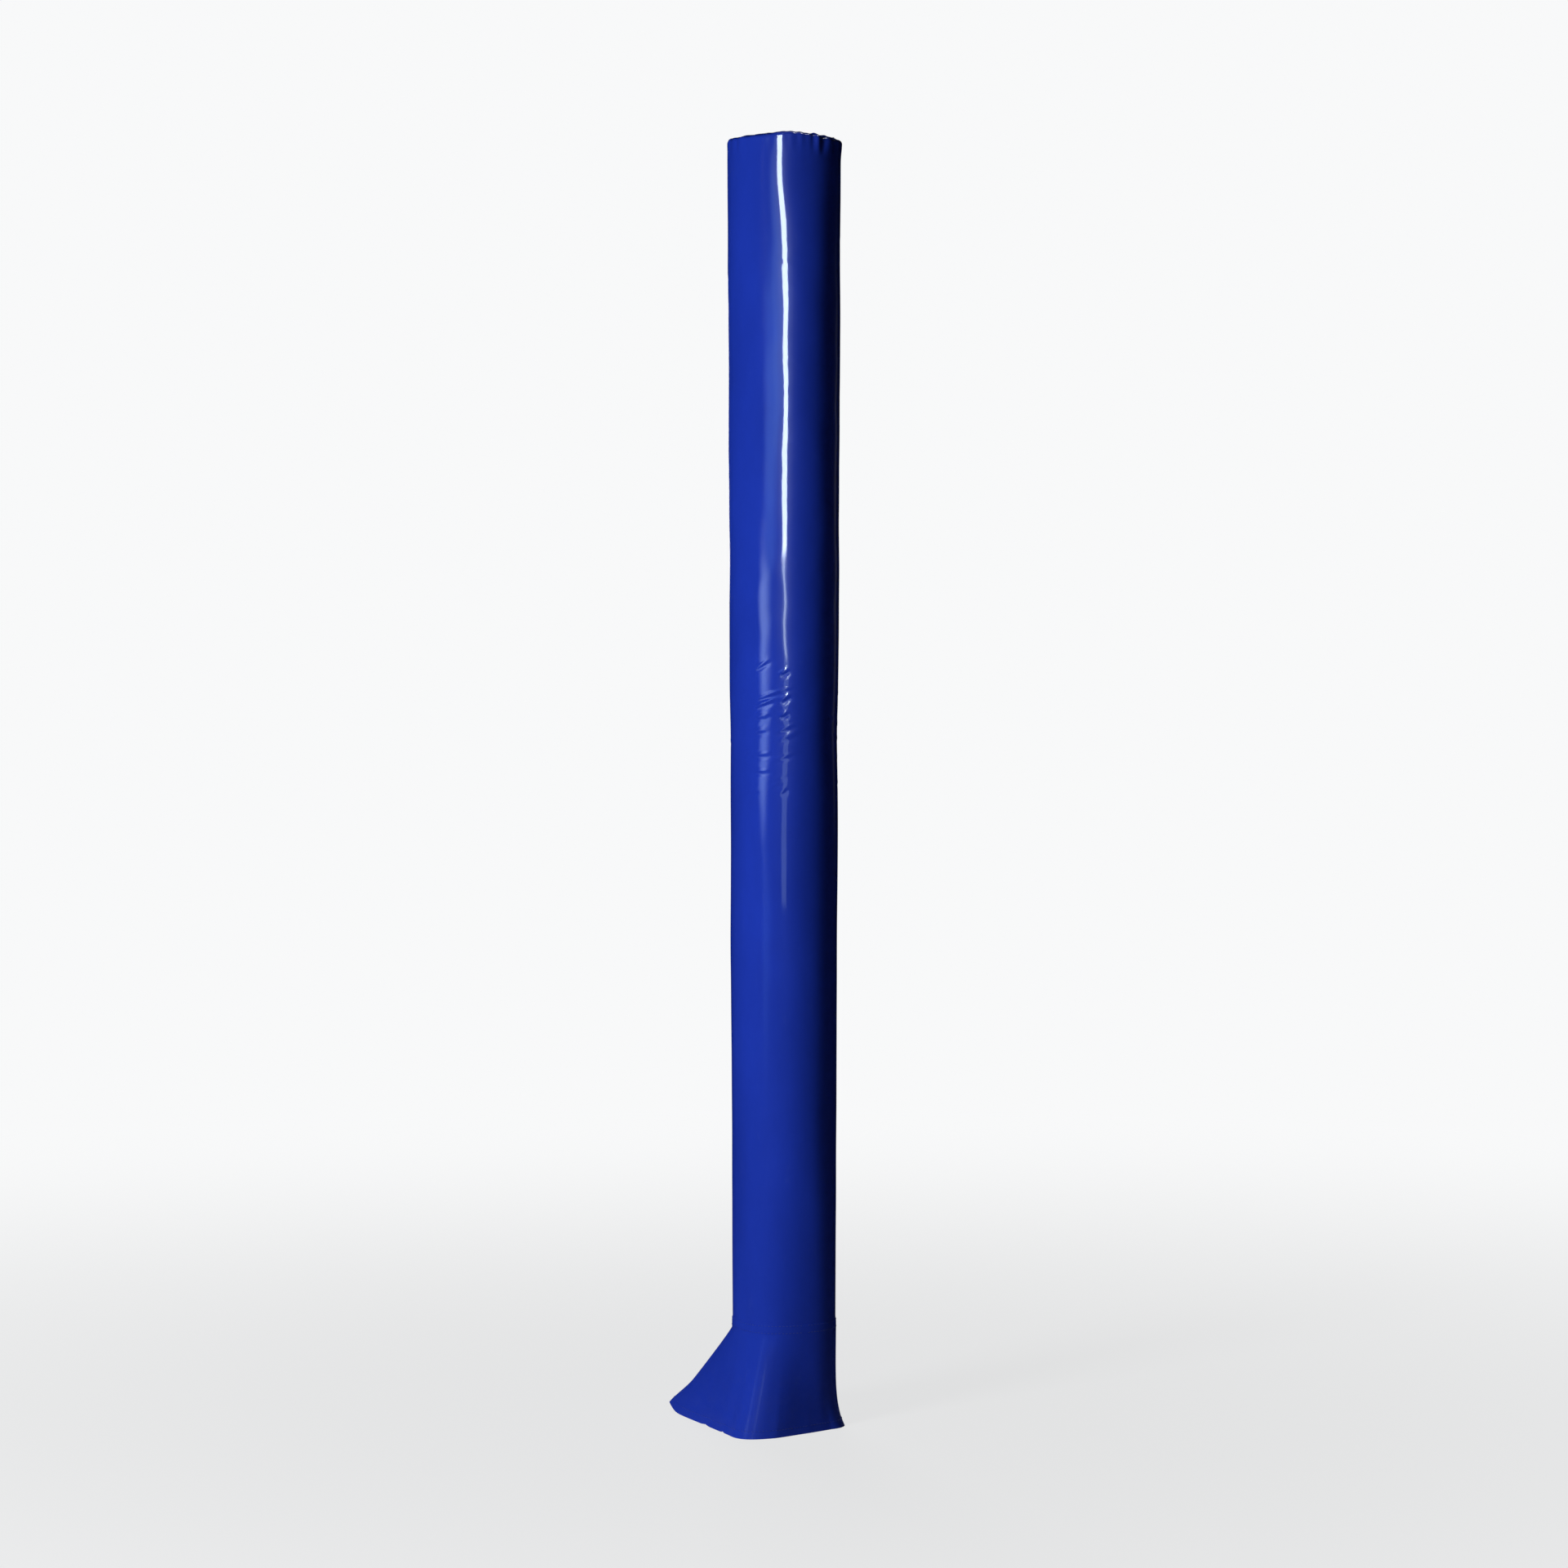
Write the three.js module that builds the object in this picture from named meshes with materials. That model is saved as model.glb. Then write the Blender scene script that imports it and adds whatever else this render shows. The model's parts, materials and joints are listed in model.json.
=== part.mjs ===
// A wrap-round safety pad for a square steel basketball post, in millimetres, +Z up, with the front of the
// pad towards -Y. Five foam panels in a tarpaulin cover are joined along the corners like the pages of a
// book: front, left, right and two half-width leaves behind. A hook-and-loop flap closes the leaves, and a
// flared skirt hides the post's foot.
import * as THREE from "three";

// Post and layers, from the inside out
const post_size = 100;
const post_clearance = 1;
const liner_thickness = 0.8;
const foam_thickness = 47;
const cover_thickness = 1;
const skin_gap = 0.3;

// Overall form
const pad_height = 2480;
const foam_split_height = 1330;
const corner_radius = 75;
const foot_taper = 7;
const crown_top = 6;
const crown_foot = 1;
const waist_depth = 2.5;
const waist_spread = 70;
const top_roll = 12;

// Hems
const hem_thickness = 1;
const foot_hem_thickness = 1.2;

// Closure behind the post
const flap_thickness = 1.2;
const flap_root_reach = 12;
const flap_overlap = 34;
const flap_end_margin = 24;
const anchor_width = 18;
const tape_thickness = 1.2;
const tape_width = 25;
const tape_seam_distance = 6;

// Skirt round the foot
const skirt_thickness = 1.2;
const skirt_height = 185;
const skirt_band = 22;
const skirt_fold = 1.2;
const flare_front_left = 36;
const flare_front_right = 5;
const flare_left = 55;
const flare_right = 5;
const flare_rear = 145;
const gusset_fold = 3;

// Detail of the curves
const face_steps = 7;
const arc_steps = 5;
const flat_steps = 4;
const gusset_steps = 12;
const roll_shares = [1, 0.6, 0.25, 0];
const waist_shares = [-1.6, -0.7, 0, 0.7, 1.6];
const body_shares = [0.35, 0.7];
const skirt_shares = [0, 0.3, 0.65, 1];
const gusset_shares = [0.12, 0.35, 0.65, 1];
const sharp_corner_weight = 3;
const round_corner_weight = 1;
const strip_shares = [0, 0.25, 0.5, 0.75, 1];
const skirt_waves = 3;
const gusset_pleats = 2;

// Derived places: distances from the post's axis to each layer's faces
const half_gap = skin_gap / 2;
const liner_face = post_size / 2 + post_clearance;
const foam_inner = liner_face + liner_thickness + skin_gap;
const foam_outer = foam_inner + foam_thickness;
const arc_centre = foam_outer - corner_radius;
const cover_in = skin_gap;
const cover_out = cover_in + cover_thickness;
const outer_in = cover_out + skin_gap;
const mitre_gap = half_gap * Math.SQRT2;

// Heights of the ends
const foot_level = foot_hem_thickness + skin_gap;
const top_level = pad_height - hem_thickness - skin_gap;
const roll_level = top_level - top_roll;
const band_level = skirt_height + skirt_band;

// The corner hinges stand on the cover's outer corner, so that the panels open like a book
const hinge_reach = arc_centre + (corner_radius + cover_out) * Math.SQRT1_2;
const wedge_reach = hinge_reach - half_gap;

const blue_tarpaulin = { color: 0x1c36aa, roughness: 0.3, metalness: 0 };
const dark_tarpaulin = { color: 0x16256e, roughness: 0.4, metalness: 0 };
const grey_liner = { color: 0x77797d, roughness: 0.8, metalness: 0 };
const pale_foam = { color: 0xe4e2d8, roughness: 0.9, metalness: 0 };
const black_tape = { color: 0x15161a, roughness: 0.95, metalness: 0 };

const object = new THREE.Group();

// How far the faces are drawn in at a height: the foot's taper, the waist between the foam lengths and the
// rolled top
function drawn_in(z) {
  const taper = foot_taper * (1 - z / pad_height);
  const waist = waist_depth * Math.exp(-(((z - foam_split_height) / waist_spread) ** 2));
  const up = Math.max(0, (z - roll_level) / top_roll);
  return taper + waist + top_roll * (1 - Math.sqrt(Math.max(0, 1 - up * up)));
}

// How far a face swells at a height. The leaves lie flat, because the closure pulls them together.
function crown_at(z) {
  return crown_foot + (crown_top - crown_foot) * (z / pad_height);
}

// Distance of the padded surface from the post's axis, at u along the face and a height, plus an offset.
// A whole face is one soft curve from corner to corner, and a leaf is flat with a round corner.
function surface(u, z, offset, side) {
  const centre = arc_centre - drawn_in(z);
  const radius = corner_radius + offset;
  if (side === "whole") {
    const middle = centre + radius + crown_at(z);
    const power = Math.LN2 / Math.log(middle / (centre + radius * Math.SQRT1_2));
    return middle * (1 - Math.abs(u / middle) ** power) ** (1 / power);
  }
  const past = Math.max(0, Math.abs(u) - centre);
  return centre + Math.sqrt(radius * radius - past * past);
}

// Places along the left half of a face, from its corner to just before its middle
function half_places(z, offset, side) {
  const centre = arc_centre - drawn_in(z);
  const radius = corner_radius + offset;
  const corner = centre + radius * Math.SQRT1_2 - half_gap * Math.SQRT1_2;
  const reach = offset > cover_out ? Math.min(corner, wedge_reach) : corner;
  if (side === "whole") {
    const shares = Array.from({ length: face_steps }, (_, i) => 1 - i / face_steps);
    return shares.map((share) => (-reach * Math.sin((share * Math.PI) / 4)) / Math.SQRT1_2);
  }
  const lean = Math.asin((reach - centre) / radius);
  const arc = Array.from({ length: arc_steps }, (_, i) => lean * (1 - i / arc_steps));
  const flat = Array.from({ length: flat_steps / 2 }, (_, i) => 1 - (2 * i) / flat_steps);
  return [...arc.map((turn) => -centre - radius * Math.sin(turn)), ...flat.map((share) => -centre * share)];
}

// The face's line in plan, from its left corner (or a start) to its right corner (or an end)
function face_line(z, offset, side) {
  const half = half_places(z, offset, side).map((u) => [u, surface(u, z, offset, side)]);
  if (side === "left_half") return [...half, [-half_gap, surface(half_gap, z, offset, side)]];
  const other = half.map(([u, n]) => [-u, n]).reverse();
  if (side === "right_half") return [[half_gap, surface(half_gap, z, offset, side)], ...other];
  return [...half, [0, surface(0, z, offset, side)], ...other];
}

// How far the leaves' closing edges stand back, so that their inner corners swing past each other
function closing_edge(n) {
  const drop = Math.max(0, hinge_reach - n);
  return hinge_reach - Math.sqrt((wedge_reach - half_gap) ** 2 - drop * drop);
}

// The straight inner line of a layer, which the line of the face returns along
function inner_line(n, side, from_outer) {
  const corner = n - mitre_gap;
  if (side === "whole") return [[corner, n], [-corner, n]];
  const step = from_outer ? [[closing_edge(hinge_reach), hinge_reach]] : [];
  const edge = [...step, [closing_edge(n), n]];
  const left = [...edge.map(([u, m]) => [-u, m]), [-corner, n]];
  return side === "left_half" ? left : left.map(([u, m]) => [-u, m]).reverse();
}

// Joins rings of points, each a closed outline, into one closed body. The rings' outlines are given
// counter-clockwise seen from the far end, and cap_plan gives them in two dimensions for closing the ends.
// Each patch is folded along its shorter diagonal, so that the faces of two layers that lie close together
// fold alike.
function loft(rings, cap_plan) {
  const all = rings.flat();
  const span = (p, q) => Math.hypot(p[0] - q[0], p[1] - q[1], p[2] - q[2]);
  const size = rings[0].length;
  const faces = [];
  for (let r = 0; r + 1 < rings.length; r++) {
    for (let i = 0; i < size; i++) {
      const j = (i + 1) % size;
      const [a, b, c, d] = [r * size + i, r * size + j, (r + 1) * size + j, (r + 1) * size + i];
      if (span(all[a], all[c]) < span(all[b], all[d])) faces.push(a, b, c, a, c, d);
      else faces.push(a, b, d, b, c, d);
    }
  }
  const last = (rings.length - 1) * size;
  const outline = (ring) => ring.map((p) => new THREE.Vector2(...cap_plan(p)));
  for (const [a, b, c] of THREE.ShapeUtils.triangulateShape(outline(rings[0]), [])) faces.push(c, b, a);
  for (const [a, b, c] of THREE.ShapeUtils.triangulateShape(outline(rings.at(-1)), [])) {
    faces.push(last + a, last + b, last + c);
  }
  const geometry = new THREE.BufferGeometry();
  geometry.setAttribute("position", new THREE.Float32BufferAttribute(all.flat(), 3));
  geometry.setIndex(faces);
  geometry.computeVertexNormals();
  return geometry;
}

// A body between an outer line and an inner line in plan, over a list of heights
function upright(levels, outline) {
  const rings = levels.map((z) => outline(z).map(([u, n]) => [u, n, z]).reverse());
  return loft(rings, (p) => [p[0], p[1]]);
}

// A body swept along the face: each station holds its section's outline as points of distance and height
function swept(stations) {
  const flat = stations.map((station) => station.map((p) => [p.u, p.n, p.z]));
  return loft(flat, (p) => [p[1], p[2]]);
}

function add(name, geometry, look, turn) {
  const mesh = new THREE.Mesh(geometry, new THREE.MeshStandardMaterial(look));
  mesh.name = name;
  mesh.rotation.z = turn;
  object.add(mesh);
}

const split_levels = waist_shares.map((share) => foam_split_height + waist_spread * share);
const lower_split_levels = split_levels.filter((z) => z < foam_split_height - half_gap);
const upper_split_levels = split_levels.filter((z) => z > foam_split_height + half_gap);
const roll_levels = roll_shares.map((share) => top_level - top_roll * share);
const lower_body_levels = body_shares.map((share) => {
  return foot_level + (lower_split_levels[0] - foot_level) * share;
});
const upper_body_levels = body_shares.map((share) => {
  const start = upper_split_levels.at(-1);
  return start + (roll_level - start) * share;
});

function foam(side, levels) {
  return upright(levels, (z) => [...face_line(z, 0, side), ...inner_line(foam_inner, side, true)]);
}

// The cover's skin between two offsets from the foam
function skin(side, levels, inside, outside) {
  return upright(levels, (z) => [...face_line(z, outside, side), ...face_line(z, inside, side).reverse()]);
}

function liner(side) {
  const back = (z) => [...inner_line(foam_inner - skin_gap, side, false)].reverse();
  return upright([foot_level, top_level], (z) => [...back(z), ...inner_line(liner_face, side, false)]);
}

function foot_hem(side) {
  const outline = (z) => [...face_line(z, cover_out, side), ...inner_line(liner_face, side, true)];
  return upright([0, foot_hem_thickness], outline);
}

// The top hem turns in over the panel's rolled end, from the cover to the liner
function top_hem(side) {
  const rolled = [...face_line(top_level, cover_out, side), ...inner_line(liner_face, side, true)];
  return upright([top_level + skin_gap, pad_height], () => rolled);
}

// The skirt hangs from a band sewn on the cover and flares to the floor, from one foot distance to another
function skirt(side, foot_start, foot_end) {
  const from = side === "right_half" ? half_gap : -wedge_reach;
  const to = side === "left_half" ? -half_gap : wedge_reach;
  const band = face_line(band_level, outer_in, side);
  const fold = face_line(skirt_height, outer_in, side);
  const stations = fold.map(([top_u, top_n], i) => {
    const share = (top_u - fold[0][0]) / (fold.at(-1)[0] - fold[0][0]);
    const wave = skirt_fold * Math.sin(2 * Math.PI * skirt_waves * share);
    const foot_u = from + (to - from) * share;
    const foot_n = foot_start + (foot_end - foot_start) * share + wave;
    const line = (thick) => [
      { u: band[i][0], n: band[i][1] + thick, z: band_level },
      ...skirt_shares.map((down) => {
        const [u, n] = [top_u + (foot_u - top_u) * down, top_n + (foot_n - top_n) * down];
        return { u, n: n + thick, z: skirt_height * (1 - down) };
      }),
    ];
    return [...line(skirt_thickness).reverse(), ...line(0)];
  });
  return swept(stations);
}

// Where a skirt panel's corner edge stands at a share of the way down, in the panel's own plan
function skirt_edge(foot, down) {
  const [u, n] = face_line(skirt_height, outer_in, "whole").at(-1);
  return [u + (wedge_reach - u) * down, n + (foot - n) * down];
}

// A pleated gusset joins two skirt panels round a corner. In its plan one panel's edge lies along +Y and
// the other's along +X, and the corner of the foot lies at both feet. The weight draws the cloth into it.
function gusset(foot_up, foot_across, weight) {
  const plan = (down, lift) => {
    const [near_up, up] = skirt_edge(foot_up, down);
    const [near_across, across] = skirt_edge(foot_across, down);
    const start = [near_up + skin_gap, up];
    const corner = [across, up];
    const end = [across, near_across + skin_gap];
    const line = [];
    for (let i = 0; i <= gusset_steps; i++) {
      const v = i / gusset_steps;
      const weights = [(1 - v) ** 2, 2 * weight * v * (1 - v), v * v];
      const total = weights[0] + weights[1] + weights[2];
      const pull = (axis) => weights[0] * start[axis] + weights[1] * corner[axis] + weights[2] * end[axis];
      const pleat = gusset_fold * down * Math.sin(Math.PI * gusset_pleats * v) ** 2;
      const turn = (Math.PI / 2) * v;
      const out = pleat + lift;
      line.push([pull(0) / total + out * Math.sin(turn), pull(1) / total + out * Math.cos(turn)]);
    }
    return line;
  };
  const levels = [...gusset_shares].reverse();
  const rings = levels.map((down) => {
    const ring = [...plan(down, skirt_thickness), ...plan(down, 0).reverse()];
    return ring.map(([x, y]) => [x, y, skirt_height * (1 - down)]).reverse();
  });
  return loft(rings, (p) => [p[0], p[1]]);
}

// Panels and the angle that turns each from behind the post to its own side
const behind = 0;
const to_left = Math.PI / 2;
const to_front = Math.PI;
const to_right = -Math.PI / 2;
const foot_at = (flare) => foam_outer - foot_taper + cover_out + flare;
const sides = {
  front: { side: "whole", turn: to_front, feet: [foot_at(flare_front_right), foot_at(flare_front_left)] },
  left: { side: "whole", turn: to_left, feet: [foot_at(flare_left), foot_at(flare_left)] },
  right: { side: "whole", turn: to_right, feet: [foot_at(flare_right), foot_at(flare_right)] },
  left_leaf: { side: "left_half", turn: behind, feet: [foot_at(flare_rear), foot_at(flare_rear)] },
  right_leaf: { side: "right_half", turn: behind, feet: [foot_at(flare_rear), foot_at(flare_rear)] },
};

const lower_levels = [
  foot_level, ...lower_body_levels, ...lower_split_levels, foam_split_height - half_gap,
];
const upper_levels = [
  foam_split_height + half_gap, ...upper_split_levels, ...upper_body_levels, ...roll_levels,
];
const cover_levels = [
  foot_level, ...lower_body_levels, ...split_levels, ...upper_body_levels, ...roll_levels,
];

for (const [name, { side, turn, feet }] of Object.entries(sides)) {
  add(`${name}_foam_lower`, foam(side, lower_levels), pale_foam, turn);
  add(`${name}_foam_upper`, foam(side, upper_levels), pale_foam, turn);
  add(`${name}_cover`, skin(side, cover_levels, cover_in, cover_out), blue_tarpaulin, turn);
  add(`${name}_liner`, liner(side), grey_liner, turn);
  add(`${name}_top_hem`, top_hem(side), blue_tarpaulin, turn);
  add(`${name}_foot_hem`, foot_hem(side), dark_tarpaulin, turn);
  add(`${name}_skirt`, skirt(side, ...feet), blue_tarpaulin, turn);
}

// Gussets, each drawn for the corner behind and to the right, then turned
const corners = {
  rear_right: { turn: behind, up: flare_rear, across: flare_right, weight: sharp_corner_weight },
  rear_left: { turn: to_left, up: flare_left, across: flare_rear, weight: sharp_corner_weight },
  front_left: { turn: to_front, up: flare_front_left, across: flare_left, weight: sharp_corner_weight },
  front_right: { turn: to_right, up: flare_right, across: flare_front_right, weight: round_corner_weight },
};
for (const [name, { turn, up, across, weight }] of Object.entries(corners)) {
  add(`skirt_gusset_${name}`, gusset(foot_at(up), foot_at(across), weight), blue_tarpaulin, turn);
}

// The closure: the flap is sewn along its root to the left leaf and lies over the right leaf
const tape_stack = 2 * tape_thickness + 2 * skin_gap;
const loop_start = tape_seam_distance;
const loop_end = loop_start + tape_width;
const flap_foot = band_level + flap_end_margin;
const flap_top = roll_level - flap_end_margin;
const inside_flap = (z) => z > flap_foot && z < flap_top;
const flap_levels = [flap_foot, ...cover_levels.filter(inside_flap), flap_top];

// A strip on the rear face between two places along it, with an offset that may change along the strip
function strip(places, offset, thickness, levels) {
  return upright(levels, (z) => {
    const line = (lift) => places.map((u) => [u, surface(u, z, offset(u), "leaf") + lift]);
    return [...line(thickness), ...line(0).reverse()];
  });
}

// The flap climbs from the leaf it is sewn on to the far side of the two tapes
const rise = (u) => {
  return outer_in + tape_stack * THREE.MathUtils.smoothstep(u, -flap_root_reach / 2, loop_start - skin_gap);
};
const spread = (from, to) => strip_shares.map((share) => from + (to - from) * share);
const flap_places = [
  ...spread(-flap_root_reach, loop_start).slice(0, -1), ...spread(loop_start, flap_overlap),
];
const tape_places = spread(loop_start, loop_end);
const anchor_places = spread(-flap_root_reach - anchor_width, -flap_root_reach - skin_gap);
const on_cover = () => outer_in;
const on_loop = () => outer_in + tape_thickness + skin_gap;
add("closure_flap", strip(flap_places, rise, flap_thickness, flap_levels), blue_tarpaulin, behind);
add("flap_anchor", strip(anchor_places, on_cover, flap_thickness, flap_levels), dark_tarpaulin, behind);
add("loop_tape", strip(tape_places, on_cover, tape_thickness, flap_levels), black_tape, behind);
add("hook_tape", strip(tape_places, on_loop, tape_thickness, flap_levels), black_tape, behind);

// The origin lies on the floor, below the middle of the whole outline
const outline = new THREE.Box3().setFromObject(object, true);
const middle = outline.getCenter(new THREE.Vector3());
object.position.set(-middle.x, -middle.y, -outline.min.z);

export default object;
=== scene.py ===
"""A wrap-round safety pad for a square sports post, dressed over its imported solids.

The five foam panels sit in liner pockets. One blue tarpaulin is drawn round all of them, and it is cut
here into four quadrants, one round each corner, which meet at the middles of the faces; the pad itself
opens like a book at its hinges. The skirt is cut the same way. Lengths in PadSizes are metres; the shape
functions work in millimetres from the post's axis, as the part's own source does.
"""

import json
import math

import bpy
import numpy as np
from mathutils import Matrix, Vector

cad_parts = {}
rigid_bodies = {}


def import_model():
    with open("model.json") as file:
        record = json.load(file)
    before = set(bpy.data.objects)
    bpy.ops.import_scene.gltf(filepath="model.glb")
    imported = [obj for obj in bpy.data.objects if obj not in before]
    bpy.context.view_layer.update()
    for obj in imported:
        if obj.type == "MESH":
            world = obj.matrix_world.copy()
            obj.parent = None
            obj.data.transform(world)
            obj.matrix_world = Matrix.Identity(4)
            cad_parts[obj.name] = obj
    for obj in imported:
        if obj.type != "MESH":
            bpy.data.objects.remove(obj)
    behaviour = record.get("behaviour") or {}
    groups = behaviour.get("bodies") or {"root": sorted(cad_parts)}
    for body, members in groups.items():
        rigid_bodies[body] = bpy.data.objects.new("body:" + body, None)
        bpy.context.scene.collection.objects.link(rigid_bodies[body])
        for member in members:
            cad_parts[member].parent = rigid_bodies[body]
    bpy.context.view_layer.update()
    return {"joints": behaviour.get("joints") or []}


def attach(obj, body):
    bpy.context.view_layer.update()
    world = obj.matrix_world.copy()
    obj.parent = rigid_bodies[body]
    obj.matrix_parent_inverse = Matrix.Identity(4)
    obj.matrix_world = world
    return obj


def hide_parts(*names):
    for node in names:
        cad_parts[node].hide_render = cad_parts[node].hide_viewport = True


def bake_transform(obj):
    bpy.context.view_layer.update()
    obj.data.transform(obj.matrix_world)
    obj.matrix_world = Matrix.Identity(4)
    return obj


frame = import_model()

bl_info = {
    "name": "Wrap-round post pad",
    "version": (1, 0, 0),
    "blender": (4, 5, 0),
    "location": "View3D > Sidebar > Post pad",
    "description": "Builds a foam post pad in tarpaulin, with its skirt, closure flap and stage",
    "category": "Add Mesh",
}

HINGES = {joint["name"]: Vector(joint["pos_m"]) for joint in frame["joints"]}
POST_AXIS = np.array([
    (HINGES["left_side_swing"].x + HINGES["right_side_swing"].x) / 2,
    (HINGES["left_side_swing"].y + HINGES["left_leaf_swing"].y) / 2,
    0.0,
])
MM = 0.001

# The pad's form in millimetres, as the source of the solids has it. Only the top's roll is tighter
FOAM_OUTER = 99.1
CORNER_RADIUS = 75.0
ARC_CENTRE = FOAM_OUTER - CORNER_RADIUS
FOOT_TAPER = 7.0
CROWN_TOP, CROWN_FOOT = 6.0, 1.0
WAIST_DEPTH, WAIST_SPREAD, WAIST_LEVEL = 2.5, 70.0, 1330.0
TOP_ROLL = 7.0
COVER_OUT = 1.3
COVER_THICK = 1.0
LINER_FACE = 51.0
LINER_THICK = 0.8
PAD_HEIGHT = 2480.0
FOOT_LEVEL, TOP_LEVEL = 1.5, 2478.7
ROLL_LEVEL = TOP_LEVEL - TOP_ROLL

# Half the slit between the leaves, the hinges' distance from the middle planes, and the leaves' inner corners
HALF_GAP = 0.15
HINGE_REACH = ARC_CENTRE + (CORNER_RADIUS + COVER_OUT) * math.sqrt(0.5)
WEDGE_REACH = HINGE_REACH - HALF_GAP

# The skirt and the closure, in millimetres. FEET says how far the foot line stands out from the cover, a
# weight how sharp its corner is, and a nick is a small dent in the hem, by its place round the pad
BAND_LEVEL, FOLD_LEVEL = 207.0, 185.0
SKIRT_THICK = 1.2
FEET = {"front_left": 36.0, "front_right": 5.0, "left": 55.0, "right": 5.0, "rear": 145.0}
FOOT_BASE = FOAM_OUTER - FOOT_TAPER + COVER_OUT
CORNER_WEIGHTS = {"rear_left": 3.5, "front_left": 1.3, "front_right": 0.7, "rear_right": 3.0}
HEM_NICKS = (146.0, 184.0)
FLAP_FOOT, FLAP_TOP = 231.0, 2442.7
FLAP_ROOT, FLAP_END = -12.0, 34.0
FLAP_THICK = 1.2
ANCHOR_START = -30.0
TAPE_START, TAPE_END = 6.0, 31.0
TAPE_THICK, SKIN_GAP = 1.2, 0.3
ON_COVER = 1.6

# Each face's turn from the rear, and the face that each panel lies on
TURNS = {"rear": 0.0, "left": math.pi / 2, "front": math.pi, "right": -math.pi / 2}
PANELS = {
    "front": "front", "left": "left", "right": "right", "left_leaf": "rear", "right_leaf": "rear",
}

# Places round the pad count from the rear seam, by the left, front and right, with 160 to a quadrant
QUADRANT = 160.0
GIRTH = 4 * QUADRANT
FACE_STEPS = 24


# Shape


def drawn_in(z):
    """How far the faces stand in at a height: the foot's taper, the waist and the rolled top."""
    taper = FOOT_TAPER * (1 - z / PAD_HEIGHT)
    waist = WAIST_DEPTH * np.exp(-(((z - WAIST_LEVEL) / WAIST_SPREAD) ** 2))
    up = np.clip((z - ROLL_LEVEL) / TOP_ROLL, 0, 1)
    return taper + waist + TOP_ROLL * (1 - np.sqrt(1 - up * up))


def turned(u, n, z, turn):
    """A point given along and out from a face, as a point round the post's axis."""
    x = u * np.cos(turn) - n * np.sin(turn)
    y = u * np.sin(turn) + n * np.cos(turn)
    return np.stack(np.broadcast_arrays(x, y, z), -1)


def face_points(side, share, z, offset):
    """Points of the padded surface, at a share from -1 to 1 of the way from corner to corner of a face.
    A whole face is one soft curve, and the rear is flat with round corners, as in the solids."""
    centre = ARC_CENTRE - drawn_in(z)
    radius = CORNER_RADIUS + offset
    if side == "rear":
        walked = abs(share) * (centre + radius * math.pi / 4)
        lean = np.maximum(0, walked - centre) / radius
        u = math.copysign(1, share) * (np.minimum(walked, centre) + radius * np.sin(lean))
        n = centre + radius * np.cos(lean)
    else:
        middle = centre + radius + CROWN_FOOT + (CROWN_TOP - CROWN_FOOT) * z / PAD_HEIGHT
        power = math.log(2) / np.log(middle / (centre + radius * math.sqrt(0.5)))
        turn = abs(share) * math.pi / 4
        away = middle / (np.cos(turn) ** power + np.sin(turn) ** power) ** (1 / power)
        u, n = math.copysign(1, share) * away * np.sin(turn), away * np.cos(turn)
    return turned(u, n, z, TURNS[side])


def stations():
    """All stations round the pad from the rear seam, by the left, front and right, back to the seam."""
    half = [i / FACE_STEPS for i in range(FACE_STEPS + 1)]
    round_it = [("rear", -share) for share in half]
    for side in ("left", "front", "right"):
        round_it += [(side, share) for share in half[-2::-1]] + [(side, -share) for share in half[1:]]
    return round_it + [("rear", share) for share in half[-2::-1]]


def normals_of(grid):
    """Unit normals of a grid of points, by its own two directions."""
    along = np.gradient(grid, axis=0)
    up = np.gradient(grid, axis=1)
    normal = np.cross(along, up)
    return normal / np.maximum(np.linalg.norm(normal, axis=-1, keepdims=True), 1e-12)


def smooth(value, low, high):
    """A soft step: 0 up to low, 1 from high on."""
    share = np.clip((value - low) / (high - low), 0, 1)
    return share * share * (3 - 2 * share)


def mirrored(line):
    """A line in plan, mirrored in its face's middle and walked the same way round."""
    return [(-u, n) for u, n in reversed(line)]


def walked_along(line):
    """How far each point of a line lies from its start, along it."""
    return np.concatenate([[0], np.cumsum(np.linalg.norm(np.diff(line, axis=0), axis=-1))])


def at_distances(distances, walked, line):
    """The points of a line, or of what goes with it, at distances along it."""
    return np.stack([np.interp(distances, walked, column) for column in line.T], -1)


def from_seam(s):
    """How far a place round the pad lies from the rear seam, by the shorter way."""
    return np.minimum(s, GIRTH - s)


def waves(s, z, length_s, length_z, seed, count=14):
    """A smooth random relief between about -1 and 1, made of sines with lengths near the two given."""
    draw = np.random.RandomState(seed)
    total = 0.0
    for _ in range(count):
        stretch = draw.uniform(0.75, 1.6, 2)
        phase = draw.uniform(0, 2 * math.pi, 2)
        slant = draw.uniform(-0.6, 0.6)
        total = total + np.sin(
            2 * math.pi * (s / (length_s * stretch[0]) + slant * z / length_z) + phase[0]
        ) * np.sin(2 * math.pi * z / (length_z * stretch[1]) + phase[1])
    return total * 1.6 / math.sqrt(count)


def ripples(s, length, seed, count):
    """Random waves that run round the pad and don't change with height."""
    return waves(s, 0 * s, length, 1.0, seed, count)


def crease(s, z, at, length, width, depth, rise):
    """One soft fold of the tarpaulin: a ridge with a valley beside it, rise radians above level."""
    along = (s - at[0]) * math.cos(rise) + (z - at[1]) * math.sin(rise)
    across = -(s - at[0]) * math.sin(rise) + (z - at[1]) * math.cos(rise)
    fade = np.exp(-((along / (0.5 * length)) ** 2) ** 1.5)
    ridge = np.exp(-((across / width) ** 2))
    valley = np.exp(-(((across + 1.5 * width) / (1.3 * width)) ** 2))
    return depth * fade * (ridge - 0.9 * valley)


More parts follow.
